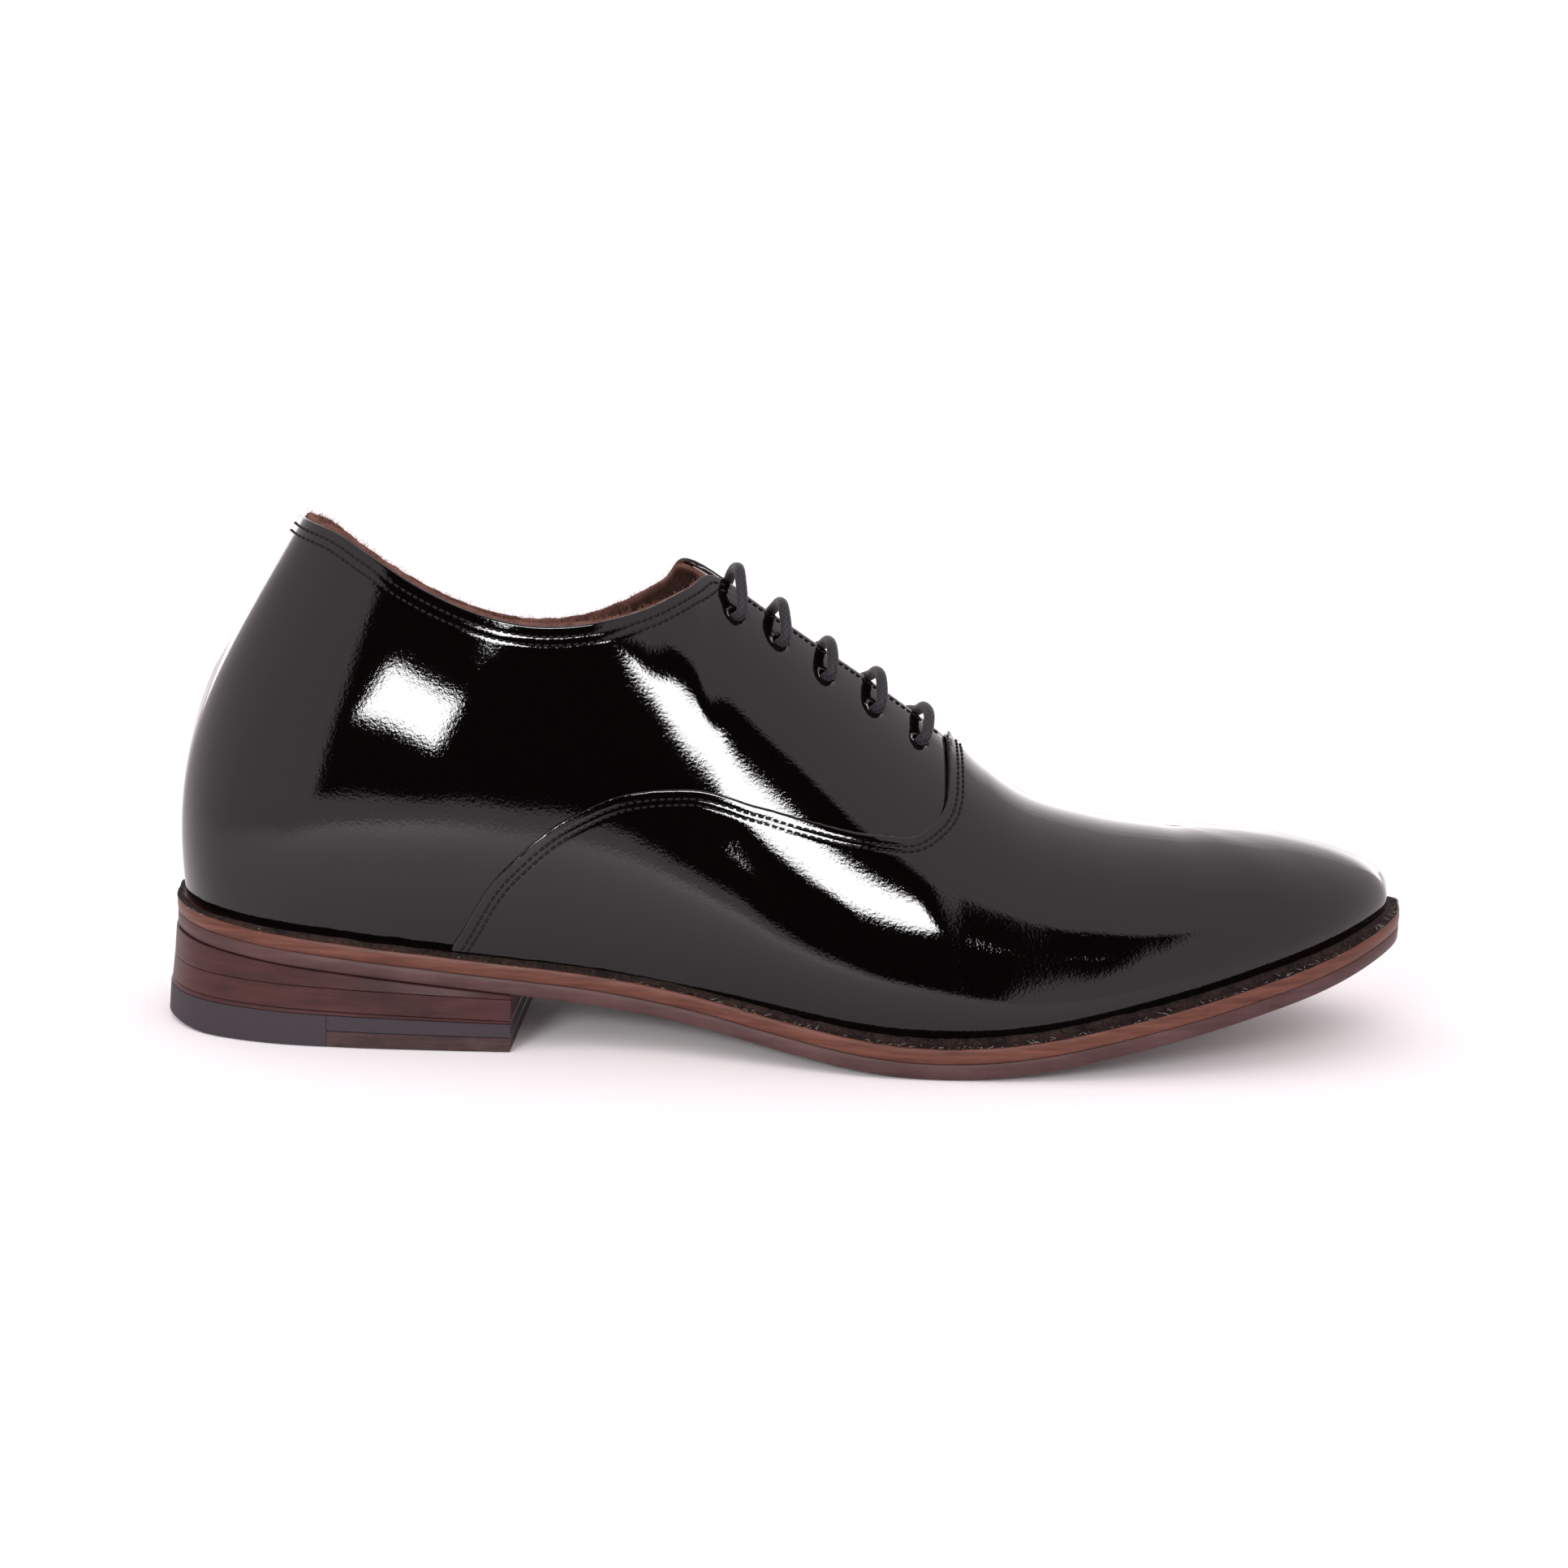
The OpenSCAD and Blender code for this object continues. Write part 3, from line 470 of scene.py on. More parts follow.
def patent_leather():
    """Nearly black leather under a clear glossy coat; a little browner where it is cut."""
    look = Look("patent_leather")
    look.set(Roughness=0.6, Specular_IOR_Level=0.0, Coat_Weight=1.0, Coat_Roughness=0.03, Coat_IOR=1.45)
    grain = look.noise(1.3, 2, 0.6)
    fine = look.noise(1.9, 3, 0.6)
    slow = look.noise(0.07, 2, 0.5)
    height = look.weighted(grain, 0.8, fine, 0.25)
    height = look.math("ADD", height, look.math("MULTIPLY", slow, 2.0))
    look.bump(height, 0.019, coat=True)
    tone = look.noise(0.5, 3)
    cut = look.span(look.field("edge_mm"), 0.0, 0.35)
    worn = look.mix(tone, (0.0022, 0.0010, 0.0010), (0.0010, 0.0008, 0.0009))
    look.colour(look.mix(cut, (0.010, 0.006, 0.005), worn))
    return look.material


def rough_leather(name, dark, light, scale=0.9, depth=0.12, own=True, roughness=0.75, stretch=(1, 1, 1)):
    """Fibrous leather; matt, or smoother with a lower roughness."""
    look = Look(name, own)
    look.set(Roughness=roughness, Specular_IOR_Level=0.1)
    vector = look.stretch(*stretch)
    fibre = look.noise(scale, 6, 0.7, vector)
    blotch = look.noise(scale * 0.12, 3, 0.5)
    tone = look.weighted(fibre, 0.6, blotch, 0.5)
    look.colour(look.mix(look.span(tone, 0.40, 0.75), dark, light))
    look.bump(fibre, depth)
    return look.material


def lining_leather():
    """Flesh side out; the raw upper edge is paler than the inside: a painted highlight where that edge
    catches the light, and painted shade inside the shoe.
    """
    look = Look("lining_leather")
    look.set(Roughness=0.75, Specular_IOR_Level=0.1)
    fibre = look.noise(1.3, 6, 0.7)
    blotch = look.noise(0.16, 3, 0.5)
    tone = look.weighted(fibre, 0.6, blotch, 0.5)
    tone = look.span(tone, 0.40, 0.75)
    # inside: the lining's brown darkened with painted shade from inside the shoe; linings without a rim
    # field take it all over
    inside = look.mix(tone, (0.018, 0.009, 0.007), (0.085, 0.040, 0.028))
    # edge: the same brown lightened with a painted highlight where the raw top edge catches the light
    edge = look.mix(tone, (0.062, 0.028, 0.023), (0.225, 0.105, 0.083))
    look.colour(look.mix(look.field("rim"), inside, edge))
    look.bump(fibre, 0.06)
    return look.material


def plain(name, colour, roughness, metallic=0.0, own=False, depth=0.02, scale=1.5):
    """One colour with faint specks."""
    look = Look(name, own)
    look.set(Roughness=roughness, Metallic=metallic, Specular_IOR_Level=0.5 if metallic else 0.15)
    speck = look.noise(scale, 4)
    darker = tuple(c * 0.72 for c in colour)
    look.colour(look.mix(speck, darker, colour))
    look.bump(speck, depth)
    return look.material


def welt_leather():
    """Smooth brown edge, rough blackened top."""
    look = Look("welt_leather")
    look.set(Specular_IOR_Level=0.12)
    streak = look.noise(0.5, 5, 0.65, look.stretch(0.12, 0.12, 1.5))
    fibre = look.noise(1.1, 5, 0.7)
    blotch = look.noise(0.16, 3, 0.5)
    side = look.mix(look.span(streak, 0.35, 0.7), (0.083, 0.031, 0.022), (0.155, 0.062, 0.044))
    rough_tone = look.weighted(fibre, 0.7, blotch, 0.4)
    dark = look.mix(look.span(rough_tone, 0.45, 0.8), (0.004, 0.003, 0.003), (0.050, 0.026, 0.020))
    upper_face = look.field("ledge_top")
    look.colour(look.mix(look.span(upper_face, 0.35, 0.65), side, dark))
    look.feed("Roughness", look.span(upper_face, 0.0, 1.0, 0.38, 0.8))
    look.bump(look.math("MULTIPLY", fibre, look.span(upper_face, 0, 1, 0.15, 1.0)), 0.18)
    return look.material


leather = patent_leather()
welt_look = welt_leather()
outsole_look = rough_leather("outsole_leather", (0.056, 0.029, 0.028), (0.103, 0.055, 0.054), 0.5, 0.05,
                             roughness=0.4, stretch=(0.12, 0.12, 1.2))
lift_look = rough_leather("heel_lift_leather", (0.034, 0.016, 0.016), (0.074, 0.028, 0.026), 0.5, 0.05,
                          roughness=0.38, stretch=(0.15, 0.15, 1.3))
top_piece_look = rough_leather("top_piece_leather", (0.032, 0.019, 0.019), (0.076, 0.044, 0.043), 0.5, 0.05,
                               roughness=0.5, stretch=(0.3, 0.3, 1.5))
rubber_look = plain("heel_rubber", (0.045, 0.036, 0.044), 0.62, own=True, depth=0.05)
lining_look = lining_leather()
tongue_look = rough_leather("tongue_leather", (0.006, 0.005, 0.005), (0.02, 0.014, 0.012), 1.0, 0.05,
                            roughness=0.4)
sock_look = rough_leather("sock_leather", (0.05, 0.025, 0.017), (0.16, 0.075, 0.045), 1.0, 0.04, own=False)
board_look = plain("fibre_board", (0.34, 0.20, 0.11), 0.85)
cork_look = plain("cork", (0.42, 0.24, 0.13), 0.9, depth=0.2, scale=0.7)
stiffener_look = plain("stiffener", (0.42, 0.33, 0.24), 0.85)
fabric_look = plain("stay_fabric", (0.55, 0.52, 0.47), 0.9, depth=0.05, scale=3)
steel_look = plain("steel", (0.42, 0.43, 0.45), 0.35, 1.0)
brass_look = plain("brass", (0.62, 0.42, 0.16), 0.32, 1.0)
aglet_look = plain("aglet", (0.02, 0.02, 0.022), 0.25)
thread_look = plain("thread", (0.007, 0.006, 0.0065), 0.55, own=True, depth=0.03, scale=5)
fuzz_look = plain("leather_fibre", (0.24, 0.12, 0.075), 0.9, own=True)
glue_look = plain("pale_fibre", (0.45, 0.42, 0.40), 0.8, own=True)


def lace_material():
    look = Look("lace_cotton")
    look.set(Roughness=0.62, Specular_IOR_Level=0.2, Sheen_Weight=0.1, Sheen_Roughness=0.5)
    weave = look.field("weave")
    fluff = look.noise(3.5, 4, 0.65)
    tone = look.weighted(weave, 0.65, fluff, 0.45)
    look.colour(look.mix(look.span(tone, 0.3, 1.0), (0.006, 0.006, 0.008), (0.026, 0.026, 0.033)))
    look.bump(tone, 0.08)
    return look.material


lace_look = lace_material()

for node, material in (
    ("sock_rear", sock_look), ("sock_fore", sock_look),
    ("insole_rear", board_look), ("insole_fore", board_look),
    ("height_wedge", cork_look), ("cork_filler_rear", cork_look), ("cork_filler_fore", cork_look),
    ("shank", steel_look), ("heel_nails", brass_look), ("blind_eyelets", brass_look),
    ("lace_tips", aglet_look),
):
    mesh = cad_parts[node].data
    mesh.materials.clear()
    mesh.materials.append(material)

# ---- the vamp ----

ROUND_R = 0.42


def rounded(d, out, inner):
    """Outer and inner offsets of a cut edge at distance d from it."""
    fall = ROUND_R - np.sqrt(np.maximum(0, ROUND_R ** 2 - np.maximum(0, ROUND_R - d) ** 2))
    return out - fall, inner + 0.5 * fall


def arc_samples(side, us, vs, spacing):
    """Resamples a line on the upper at even spacing along its length."""
    u_fine = np.interp(np.linspace(0, 1, 2400), np.linspace(0, 1, len(us)), us)
    v_fine = np.interp(np.linspace(0, 1, 2400), np.linspace(0, 1, len(vs)), vs)
    s = run_length(on_upper(side, u_fine, v_fine))
    count = max(2, int(round(s[-1] / spacing)) + 1)
    at = np.linspace(0, s[-1], count)
    return np.interp(at, s, u_fine), np.interp(at, s, v_fine)


def smooth_seam(seam):
    """A seam's rows as one smooth line of [column, height share]."""
    rows = np.asarray(seam, float)
    line = glide(rows, np.linspace(0, len(rows) - 1, 400))
    line[:, 1] = np.clip(line[:, 1], 0, 1)
    return line[:, 0], line[:, 1]


def distance_to(points, lines):
    """Distance of every point to the nearest of some dense lines."""
    every = np.vstack(lines)
    tree = KDTree(len(every))
    for i, p in enumerate(every):
        tree.insert(p, i)
    tree.balance()
    return np.array([tree.find(p)[2] for p in points])


def rows_from_edge(length, top_rows, rest_rows, near=9.0):
    """Distances from the edge, close together near it, for each column's length."""
    fine = np.linspace(0, 1, top_rows + 1) ** 1.25 * near
    coarse = np.linspace(0, 1, rest_rows + 1)[1:]
    scale = np.minimum(1, length / (2 * near))[:, None]
    first = fine[None, :] * scale
    start = near * scale
    return np.hstack([first, start + (length[:, None] - start) * coarse[None, :]])


def column_lengths(side, us, v0, v1):
    t = np.linspace(0, 1, 24)
    vs = v0[:, None] + (v1 - v0)[:, None] * t[None, :]
    p = on_upper(side, us[:, None], vs)
    return np.linalg.norm(np.diff(p, axis=1), axis=2).sum(1)


STEP = 1.0
vamp_u, vamp_v = smooth_seam(VAMP_SEAM)
seam_us, seam_vs = arc_samples(LATERAL, vamp_u, vamp_v, 0.9 * STEP)
front_us = np.arange(14.16, LAST, 0.07 * STEP)


def vamp_columns():
    us = np.concatenate([seam_us, front_us, [LAST]])
    tops = np.concatenate([seam_vs, np.ones(len(front_us) + 1)])
    return us, tops


# How far the outer leather runs down past the upper's lower end, onto the welt
FOOT_V = -0.022


def side_grid(side, us, v_low, v_top, top_rows, rest_rows):
    """u and v of a grid that runs down from its top edge; first row is the edge."""
    length = column_lengths(side, us, v_low, v_top)
    d = rows_from_edge(length, top_rows, rest_rows)
    share = 1 - d / np.maximum(length, 1e-6)[:, None]
    v = v_low[:, None] + (v_top - v_low)[:, None] * np.clip(share, 0, 1)
    return np.broadcast_to(us[:, None], v.shape), v


def groove(d, row, depth):
    """Shallow valley that a row of stitches pulls into the leather, at distance d from the edge."""
    return depth * np.exp(-((d - row) / 0.4) ** 2)


# Middle of the vamp's leather, measured from the upper
VAMP_MID = 0.8


def ridge_ids(us, rows, closed_from):
    """Point numbers of a sheet over both sides, its first row along the ridge. Both sides share
    the ridge's points beyond column closed_from; at the tip of the toe they are all one point."""
    count = len(us)
    total = 2 * count - 1
    ids = np.arange(total * rows).reshape(total, rows)
    column_u = np.concatenate([us, us[::-1][1:]])
    for i in range(total):
        if column_u[i] >= POLE_FROM:
            ids[i, 0] = (count - 1) * rows
        elif i >= count and column_u[i] > closed_from:
            ids[i, 0] = (total - 1 - i) * rows
    return ids


def build_vamp():
    us, tops = vamp_columns()
    rows_top, rows_rest = ((26, 46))
    low = np.full(len(us), FOOT_V)
    u_lat, v_lat = side_grid(LATERAL, us, low, tops, rows_top, rows_rest)
    u_med, v_med = (g[::-1][1:] for g in side_grid(MEDIAL, us, low, tops, rows_top, rows_rest))
    count, rows = u_lat.shape
    total = 2 * count - 1
    lines = [skin(side, vamp_u, vamp_v, np.full(len(vamp_u), VAMP_MID)) for side in (LATERAL, MEDIAL)]
    base = np.concatenate([skin(LATERAL, u_lat, v_lat, np.full(u_lat.shape, VAMP_MID)),
                           skin(MEDIAL, u_med, v_med, np.full(u_med.shape, VAMP_MID))])
    d = distance_to(base.reshape(-1, 3), lines).reshape(total, rows)
    out, inn = rounded(d, VAMP_IN + LEATHER_T, np.full(d.shape, VAMP_IN))
    out = out - (groove(d, VAMP_ROWS[0], 0.045) + groove(d, VAMP_ROWS[1], 0.045))
    sheets = []
    for off in (out, inn):
        a = skin(LATERAL, u_lat, v_lat, off[:count])
        b = skin(MEDIAL, u_med, v_med, off[count:])
        sheets.append(np.concatenate([a, b]).reshape(-1, 3))
    ids = ridge_ids(us, rows, 14.1)
    seam_end = len(seam_us) - 1
    ids[total - 1 - seam_end, 0] = seam_end * rows
    faces = shell_faces(clean_faces(grid_quads(ids)), ids.size)
    fields = {"edge_mm": np.concatenate([d.ravel(), d.ravel() * 0])}
    o = add_mesh("vamp_leather", np.vstack(sheets), faces, leather, fields=fields)
    return bends(o, "vamp")


build_vamp()

# ---- the quarters ----


def seam_height(seam, u):
    rows = np.asarray(seam, float)
    return np.where(u <= rows[0, 0], 0, curve(seam, u))


def quarter_foot(u):
    v = np.clip(seam_height(VAMP_SEAM, np.minimum(u, 13.9)), 0, 0.66) - UNDERLAY
    return np.where(u < 5.6, FOOT_V, np.maximum(v, 0))


def quarter_head(u, slit=SLIT):
    return 1 - slit * ease(10.2, 11, u)


def head_line(side, off):
    u = np.linspace(0, 14.3, 1600)
    return skin(side, u, quarter_head(u), np.full(len(u), off))


def punch(points, faces, centre, axis, radius):
    """Takes out the faces over a hole and draws its rim onto a circle."""
    rel = points - centre
    flat = rel - (rel @ axis)[:, None] * axis
    near = np.abs(rel @ axis) < 4
    r = np.where(near, np.linalg.norm(flat, axis=1), 1e3)
    keep, gone = [], []
    for f in faces:
        c = flat[f].mean(0)
        if near[f[0]] and np.linalg.norm(c) < radius:
            gone.append(f)
        else:
            keep.append(f)
    rim = {i for e in open_edges(gone) for i in e}
    for i in rim:
        points[i] = centre + flat[i] / max(r[i], 1e-6) * radius + (rel[i] @ axis) * axis
    return keep


def punch_holes(side, outer, inner, faces, off, radius):
    """Punches the lace holes through a sheet and its copy."""
    for k in range(HOLE_COUNT):
        c, n = hole_point(side, k, off), hole_normal(side, k)
        kept = punch(outer, faces, c, n, radius)
        punch(inner, faces, c, n, radius)
        faces = kept
    return faces


def build_quarter(side, name, node):
    du = 0.05
    us = np.arange(0, 14.36, du)
    rows = ((28, 70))
    u, v = side_grid(side, us, quarter_foot(us), quarter_head(us), *rows)
    middle = -0.7
    base = skin(side, u, v, np.full(u.shape, middle))
    d = distance_to(base.reshape(-1, 3), [head_line(side, middle)]).reshape(u.shape)
    out, inn = rounded(d, QUARTER_OUT, np.full(d.shape, QUARTER_OUT - LEATHER_T))
    facing = ease(10.3, 11.2, u)
    valley = groove(d, TOPLINE_ROWS[0], 0.04) + groove(d, TOPLINE_ROWS[1], 0.04)
    out = out - valley * (1 - facing) - facing * groove(d, FACING_GROOVE, 0.07)
    outer = skin(side, u, v, out).reshape(-1, 3)
    inner = skin(side, u, v, inn).reshape(-1, 3)
    for k in range(HOLE_COUNT):
        c = hole_point(side, k, 0.0)
        r = np.linalg.norm(outer - c, axis=1)
        dimple = 0.12 * np.exp(-((r - HOLE_R) / 1.1) ** 2) * (r < 6)
        outer = outer - normal(side, u, v).reshape(-1, 3) * dimple[:, None]
    faces = shell_faces(punch_holes(side, outer, inner, sheet_faces(u.shape), 0.0, HOLE_R), u.size)
    fields = {"edge_mm": np.concatenate([d.ravel(), d.ravel() * 0])}
    o = add_mesh(name, np.vstack([outer, inner]), faces, leather, fields=fields)
    return bends(o, node)


build_quarter(LATERAL, "quarter_leather_lateral", "quarter_lateral")
build_quarter(MEDIAL, "quarter_leather_medial", "quarter_medial")

# ---- linings ----

STAND = 0.9
# Along the facings the lining ends twice this share of the height below the leather's edge
SETBACK = 0.004


def lining_head(side, u):
    """The quarter lining stands a little above the topline, not along the facings."""
    length = column_lengths(side, u, np.zeros(len(u)), np.ones(len(u)))
    stand = STAND / length * (1 - ease(9.6, 10.4, u))
    return quarter_head(u, SLIT + SETBACK) - SETBACK * ease(9.6, 10.4, u) + stand


def build_quarter_lining(side, name, node):
    us = np.arange(0, 14.15, 0.14 * STEP)
    foot = seam_height(LINING_SEAM, np.minimum(us, 14)) + np.where(us > LINING_SEAM[0][0], 0.012, 0)
    u, v = side_grid(side, us, np.maximum(foot, 0), lining_head(side, us), 10, 26)
    ragged = np.zeros(u.shape)
    ragged[:, 0] = rng.normal(0, 0.0012, len(us)) * (1 - ease(9.6, 10.4, us))
    v = v + ragged
    depth = lining_depth(u, v)
    outer = skin(side, u, v, -depth).reshape(-1, 3)
    inner = skin(side, u, v, -depth - LINING_T).reshape(-1, 3)
    faces = punch_holes(side, outer, inner, sheet_faces(u.shape), -2.0, 2.65)
    drop = column_lengths(side, us, v[:, -1], v[:, 0])[:, None] * (v[:, :1] - v) / (v[:, :1] - v[:, -1:])
    # rim: share of the painted highlight on the raw top edge, full for the top 0.8 mm and gone 3 mm down,
    # where the painted shade of the inside colour takes over
    rim = 1 - ease(0.8, 3.0, drop)
    o = add_mesh(name, np.vstack([outer, inner]), shell_faces(faces, u.size), lining_look,
                 fields={"rim": np.tile(rim.ravel(), 2)})
    return bends(o, node)


build_quarter_lining(LATERAL, "quarter_lining_fine_lateral", "quarter_lining_lateral")
build_quarter_lining(MEDIAL, "quarter_lining_fine_medial", "quarter_lining_medial")


def both_sides(u, v, off):
    """One sheet over both sides, which share the column at the toe."""
    a, b = skin(LATERAL, u, v, off), skin(MEDIAL, u, v, off)
    return np.concatenate([a, b[::-1][1:]]).reshape(-1, 3)


def build_vamp_lining():
    seam_u, seam_v = smooth_seam(LINING_SEAM)
    us, vs = arc_samples(LATERAL, seam_u, seam_v, 2.5 * STEP)
    front = np.arange(14.45, LAST, 0.18 * STEP)
    all_u = np.concatenate([us, front, [LAST]])
    tops = np.concatenate([vs, np.ones(len(front) + 1)])
    rows = 30
    v = tops[:, None] * np.linspace(1, 0, rows)[None, :]
    u = np.broadcast_to(all_u[:, None], v.shape)
    sheets = [both_sides(u, v, -lining_depth(u, v) - extra) for extra in (0.0, LINING_T)]
    ids = ridge_ids(all_u, rows, 14.359)
    faces = shell_faces(clean_faces(grid_quads(ids)), ids.size)
    o = add_mesh("vamp_lining_fine", np.vstack(sheets), faces, lining_look)
    return bends(o, "vamp_lining")


build_vamp_lining()

# ---- stiffeners between leather and lining ----


def build_stay(side, name, node):
    us = np.arange(10.1, 13.96, 0.07)
    foot = 0.76
    v = foot + (quarter_head(us) - 0.01 - foot)[:, None] * np.linspace(0, 1, 22)[None, :]
    u = np.broadcast_to(us[:, None], v.shape)
    outer = skin(side, u, v, -1.56 + 0 * v).reshape(-1, 3)
    inner = skin(side, u, v, -1.98 + 0 * v).reshape(-1, 3)
    faces = punch_holes(side, outer, inner, sheet_faces(u.shape), -1.7, 2.6)
    o = add_mesh(name, np.vstack([outer, inner]), shell_faces(faces, u.size), fabric_look)
    return bends(o, node)


build_stay(LATERAL, "facing_tape_lateral", "facing_stay_lateral")
build_stay(MEDIAL, "facing_tape_medial", "facing_stay_medial")


def build_counter():
    half = np.arange(0.2, 5.01, 0.2)
    sheets = []
    for off in (-1.62, -2.98):
        strips = []
        for side, us in ((LATERAL, half[::-1]), (MEDIAL, np.concatenate([[0.0], half]))):
            tops = 0.46 * (1 - 0.35 * ease(2, 5, us))
            v = 0.02 + (tops - 0.02)[:, None] * np.linspace(0, 1, 20)[None, :]
            strips.append(skin(side, np.broadcast_to(us[:, None], v.shape), v, off + 0 * v))
        sheets.append(np.vstack(strips))
    ids = np.arange(sheets[0][..., 0].size).reshape(sheets[0].shape[:2])
    faces = shell_faces(clean_faces(grid_quads(ids)), ids.size)
    points = np.vstack([sheet.reshape(-1, 3) for sheet in sheets])
    o = add_mesh("heel_counter_fine", points, faces, stiffener_look)
    return rides(o, "shoe", "heel_counter")


def build_puff():
    us = np.concatenate([np.arange(POLE_FROM, LAST, 0.15), [LAST]])
    rows = 24
    v = np.broadcast_to(np.linspace(0.02, 1, rows)[None, :], (len(us), rows))
    u = np.broadcast_to(us[:, None], v.shape)
    sheets = [both_sides(u, v, off + 0 * v) for off in (-0.46, -1.49)]
    ids = np.arange((2 * len(us) - 1) * rows).reshape(-1, rows)
    ids[:, -1] = ids[len(us) - 1, -1]
    faces = shell_faces(clean_faces(grid_quads(ids)), ids.size)
    o = add_mesh("toe_puff_fine", np.vstack(sheets), faces, stiffener_look)
    return rides(o, "toe", "toe_puff")


build_counter()
build_puff()

# ---- sole layers ----

PERIMETER_STEP = 0.06 * STEP


def loft(name, us, profile, material):
    """A plate whose edge profile follows the outline on both sides.
    profile(side, u) gives a list of (distance out from the feather line, height) from the inner top
    over the edge to the inner bottom, as arrays over u. The gap between both sides is filled flat."""
    sides = {}
    for side in (LATERAL, MEDIAL):
        rings = []
        for out, z in profile(side, us):
            rings.append(raised(edge_point(side, us, out), z))
        sides[side] = np.array(rings)
    lat, med = sides[LATERAL], sides[MEDIAL]
    t = np.linspace(0, 1, 12)[1:-1]
    bottom = [lat[-1] * (1 - k) + med[-1] * k for k in t]
    top = [med[0] * (1 - k) + lat[0] * k for k in t]
    loop = np.array(list(lat) + bottom + list(med[::-1]) + top)
    k, n = loop.shape[0], loop.shape[1]
    points = loop.transpose(1, 0, 2).reshape(-1, 3)
    ids = np.arange(n * k).reshape(n, k)
    # At the heel and at the toe both sides meet in one line
    p = len(lat)
    for i in (0, n - 1):
        for j in range(p):
            ids[i, p + len(bottom) + (p - 1 - j)] = ids[i, j]
        for j in range(len(bottom)):
            ids[i, p + j] = ids[i, p - 1]
            ids[i, 2 * p + len(bottom) + j] = ids[i, 0]
    return add_mesh(name, points, clean_faces(grid_quads(wrapped(ids))), material)


sole_us = np.concatenate([np.linspace(0, 1, 26) ** 2 * 0.8, np.arange(0.85, 21.2, PERIMETER_STEP),
                          LAST - np.linspace(1, 0, 26) ** 2 * 0.8])
SOLE_BEVEL = 0.28


def outsole_profile(side, us):
    edge = ledge(us)
    rim = edge_point(side, us, edge)
    top = welt_z(rim[:, 0]) - WELT_T
    bottom = np.maximum(0, top - OUTSOLE_T)
    inner_top = welt_z(edge_point(side, us, edge - 8)[:, 0]) - WELT_T
    inner_low = np.maximum(0, inner_top - OUTSOLE_T)
    b = SOLE_BEVEL
    return [
        (edge - 8, inner_top), (edge - b, top), (edge, top - b), (edge + 0.05, (top + bottom) / 2),
        (edge, bottom + 1.5 * b), (edge - 1.5 * b, bottom), (edge - 3, bottom), (edge - 8, inner_low),
    ]


bends(loft("outsole", sole_us, outsole_profile, outsole_look),
      "outsole_rear", "outsole_fore")


def build_welt():
    """A strip round the whole shoe, raised where it turns up against the upper."""
    us = sole_us
    rings = []
    edge = ledge(us)
    lip = np.minimum(1.3, edge * 0.42)
    foot = np.minimum(1.75, edge * 0.8)
    for side in (LATERAL, MEDIAL):
        marks = [
            (-6 + 0 * us, -WELT_T), (-6 + 0 * us, 0 * us), (-0.6 + 0 * us, 0 * us),
            (foot - 0.15, lip), (foot + 0.25, lip * 0.95), (foot + 0.65 * lip, lip * 0.35),
            (foot + 1.0 * lip, lip * 0.08), (0.55 * foot + 0.5 * edge, 0 * us),
            (edge - 0.6, 0 * us), (edge - 0.22, -0.02 + 0 * us), (edge, -0.26 + 0 * us),
            (edge + 0.08, -WELT_T * 0.5 + 0 * us), (edge, -WELT_T + 0.3 + 0 * us),
            (edge - 0.3, -WELT_T + 0 * us),
        ]
        strip = []
        for out, dz in marks:
            xy = edge_point(side, us, np.minimum(out, edge + 0.1))
            strip.append(raised(xy, welt_z(xy[:, 0]) + dz))
        rings.append(np.array(strip).transpose(1, 0, 2))
    loop = np.concatenate([rings[0], rings[1][::-1][1:-1]])
    rough = rng.normal(0, 1, loop.shape)
    rough = (rough + np.roll(rough, 1, 0) + np.roll(rough, -1, 0)) / 3
    upper_face, outer_corner = slice(3, 9), slice(9, 11)
    weight = np.zeros(loop.shape[1])
    weight[upper_face] = 0.11
    weight[outer_corner] = 0.03
    loop = loop + rough * weight[None, :, None] * np.array([0.5, 0.5, 1.0])
    n, k = loop.shape[:2]
    ids = np.arange(n * k).reshape(n, k)
    ids = wrapped(np.vstack([ids, ids[:1]]))
    top = np.zeros((n, k))
    top[:, upper_face] = 1
    o = add_mesh("welt", loop.reshape(-1, 3), clean_faces(grid_quads(ids)), welt_look,
                 fields={"ledge_top": top.ravel()})
    return bends(o, "welt_rear", "welt_fore")


build_welt()

# ---- the heel stack ----


def under_seat_lift(x):
    return 15.2 - 3.2 * x / HEEL_LEN


def under_main_lift(x):
    return 9.4 - 2.4 * x / HEEL_LEN


def under_thin_lift(x):
    return 8.3 - 1.9 * x / HEEL_LEN


def tread(x):
    return 1.4 * (1 - ease(-3, 16, x))


def sole_under(x):
    return np.maximum(0, welt_z(x) - WELT_T - OUTSOLE_T)


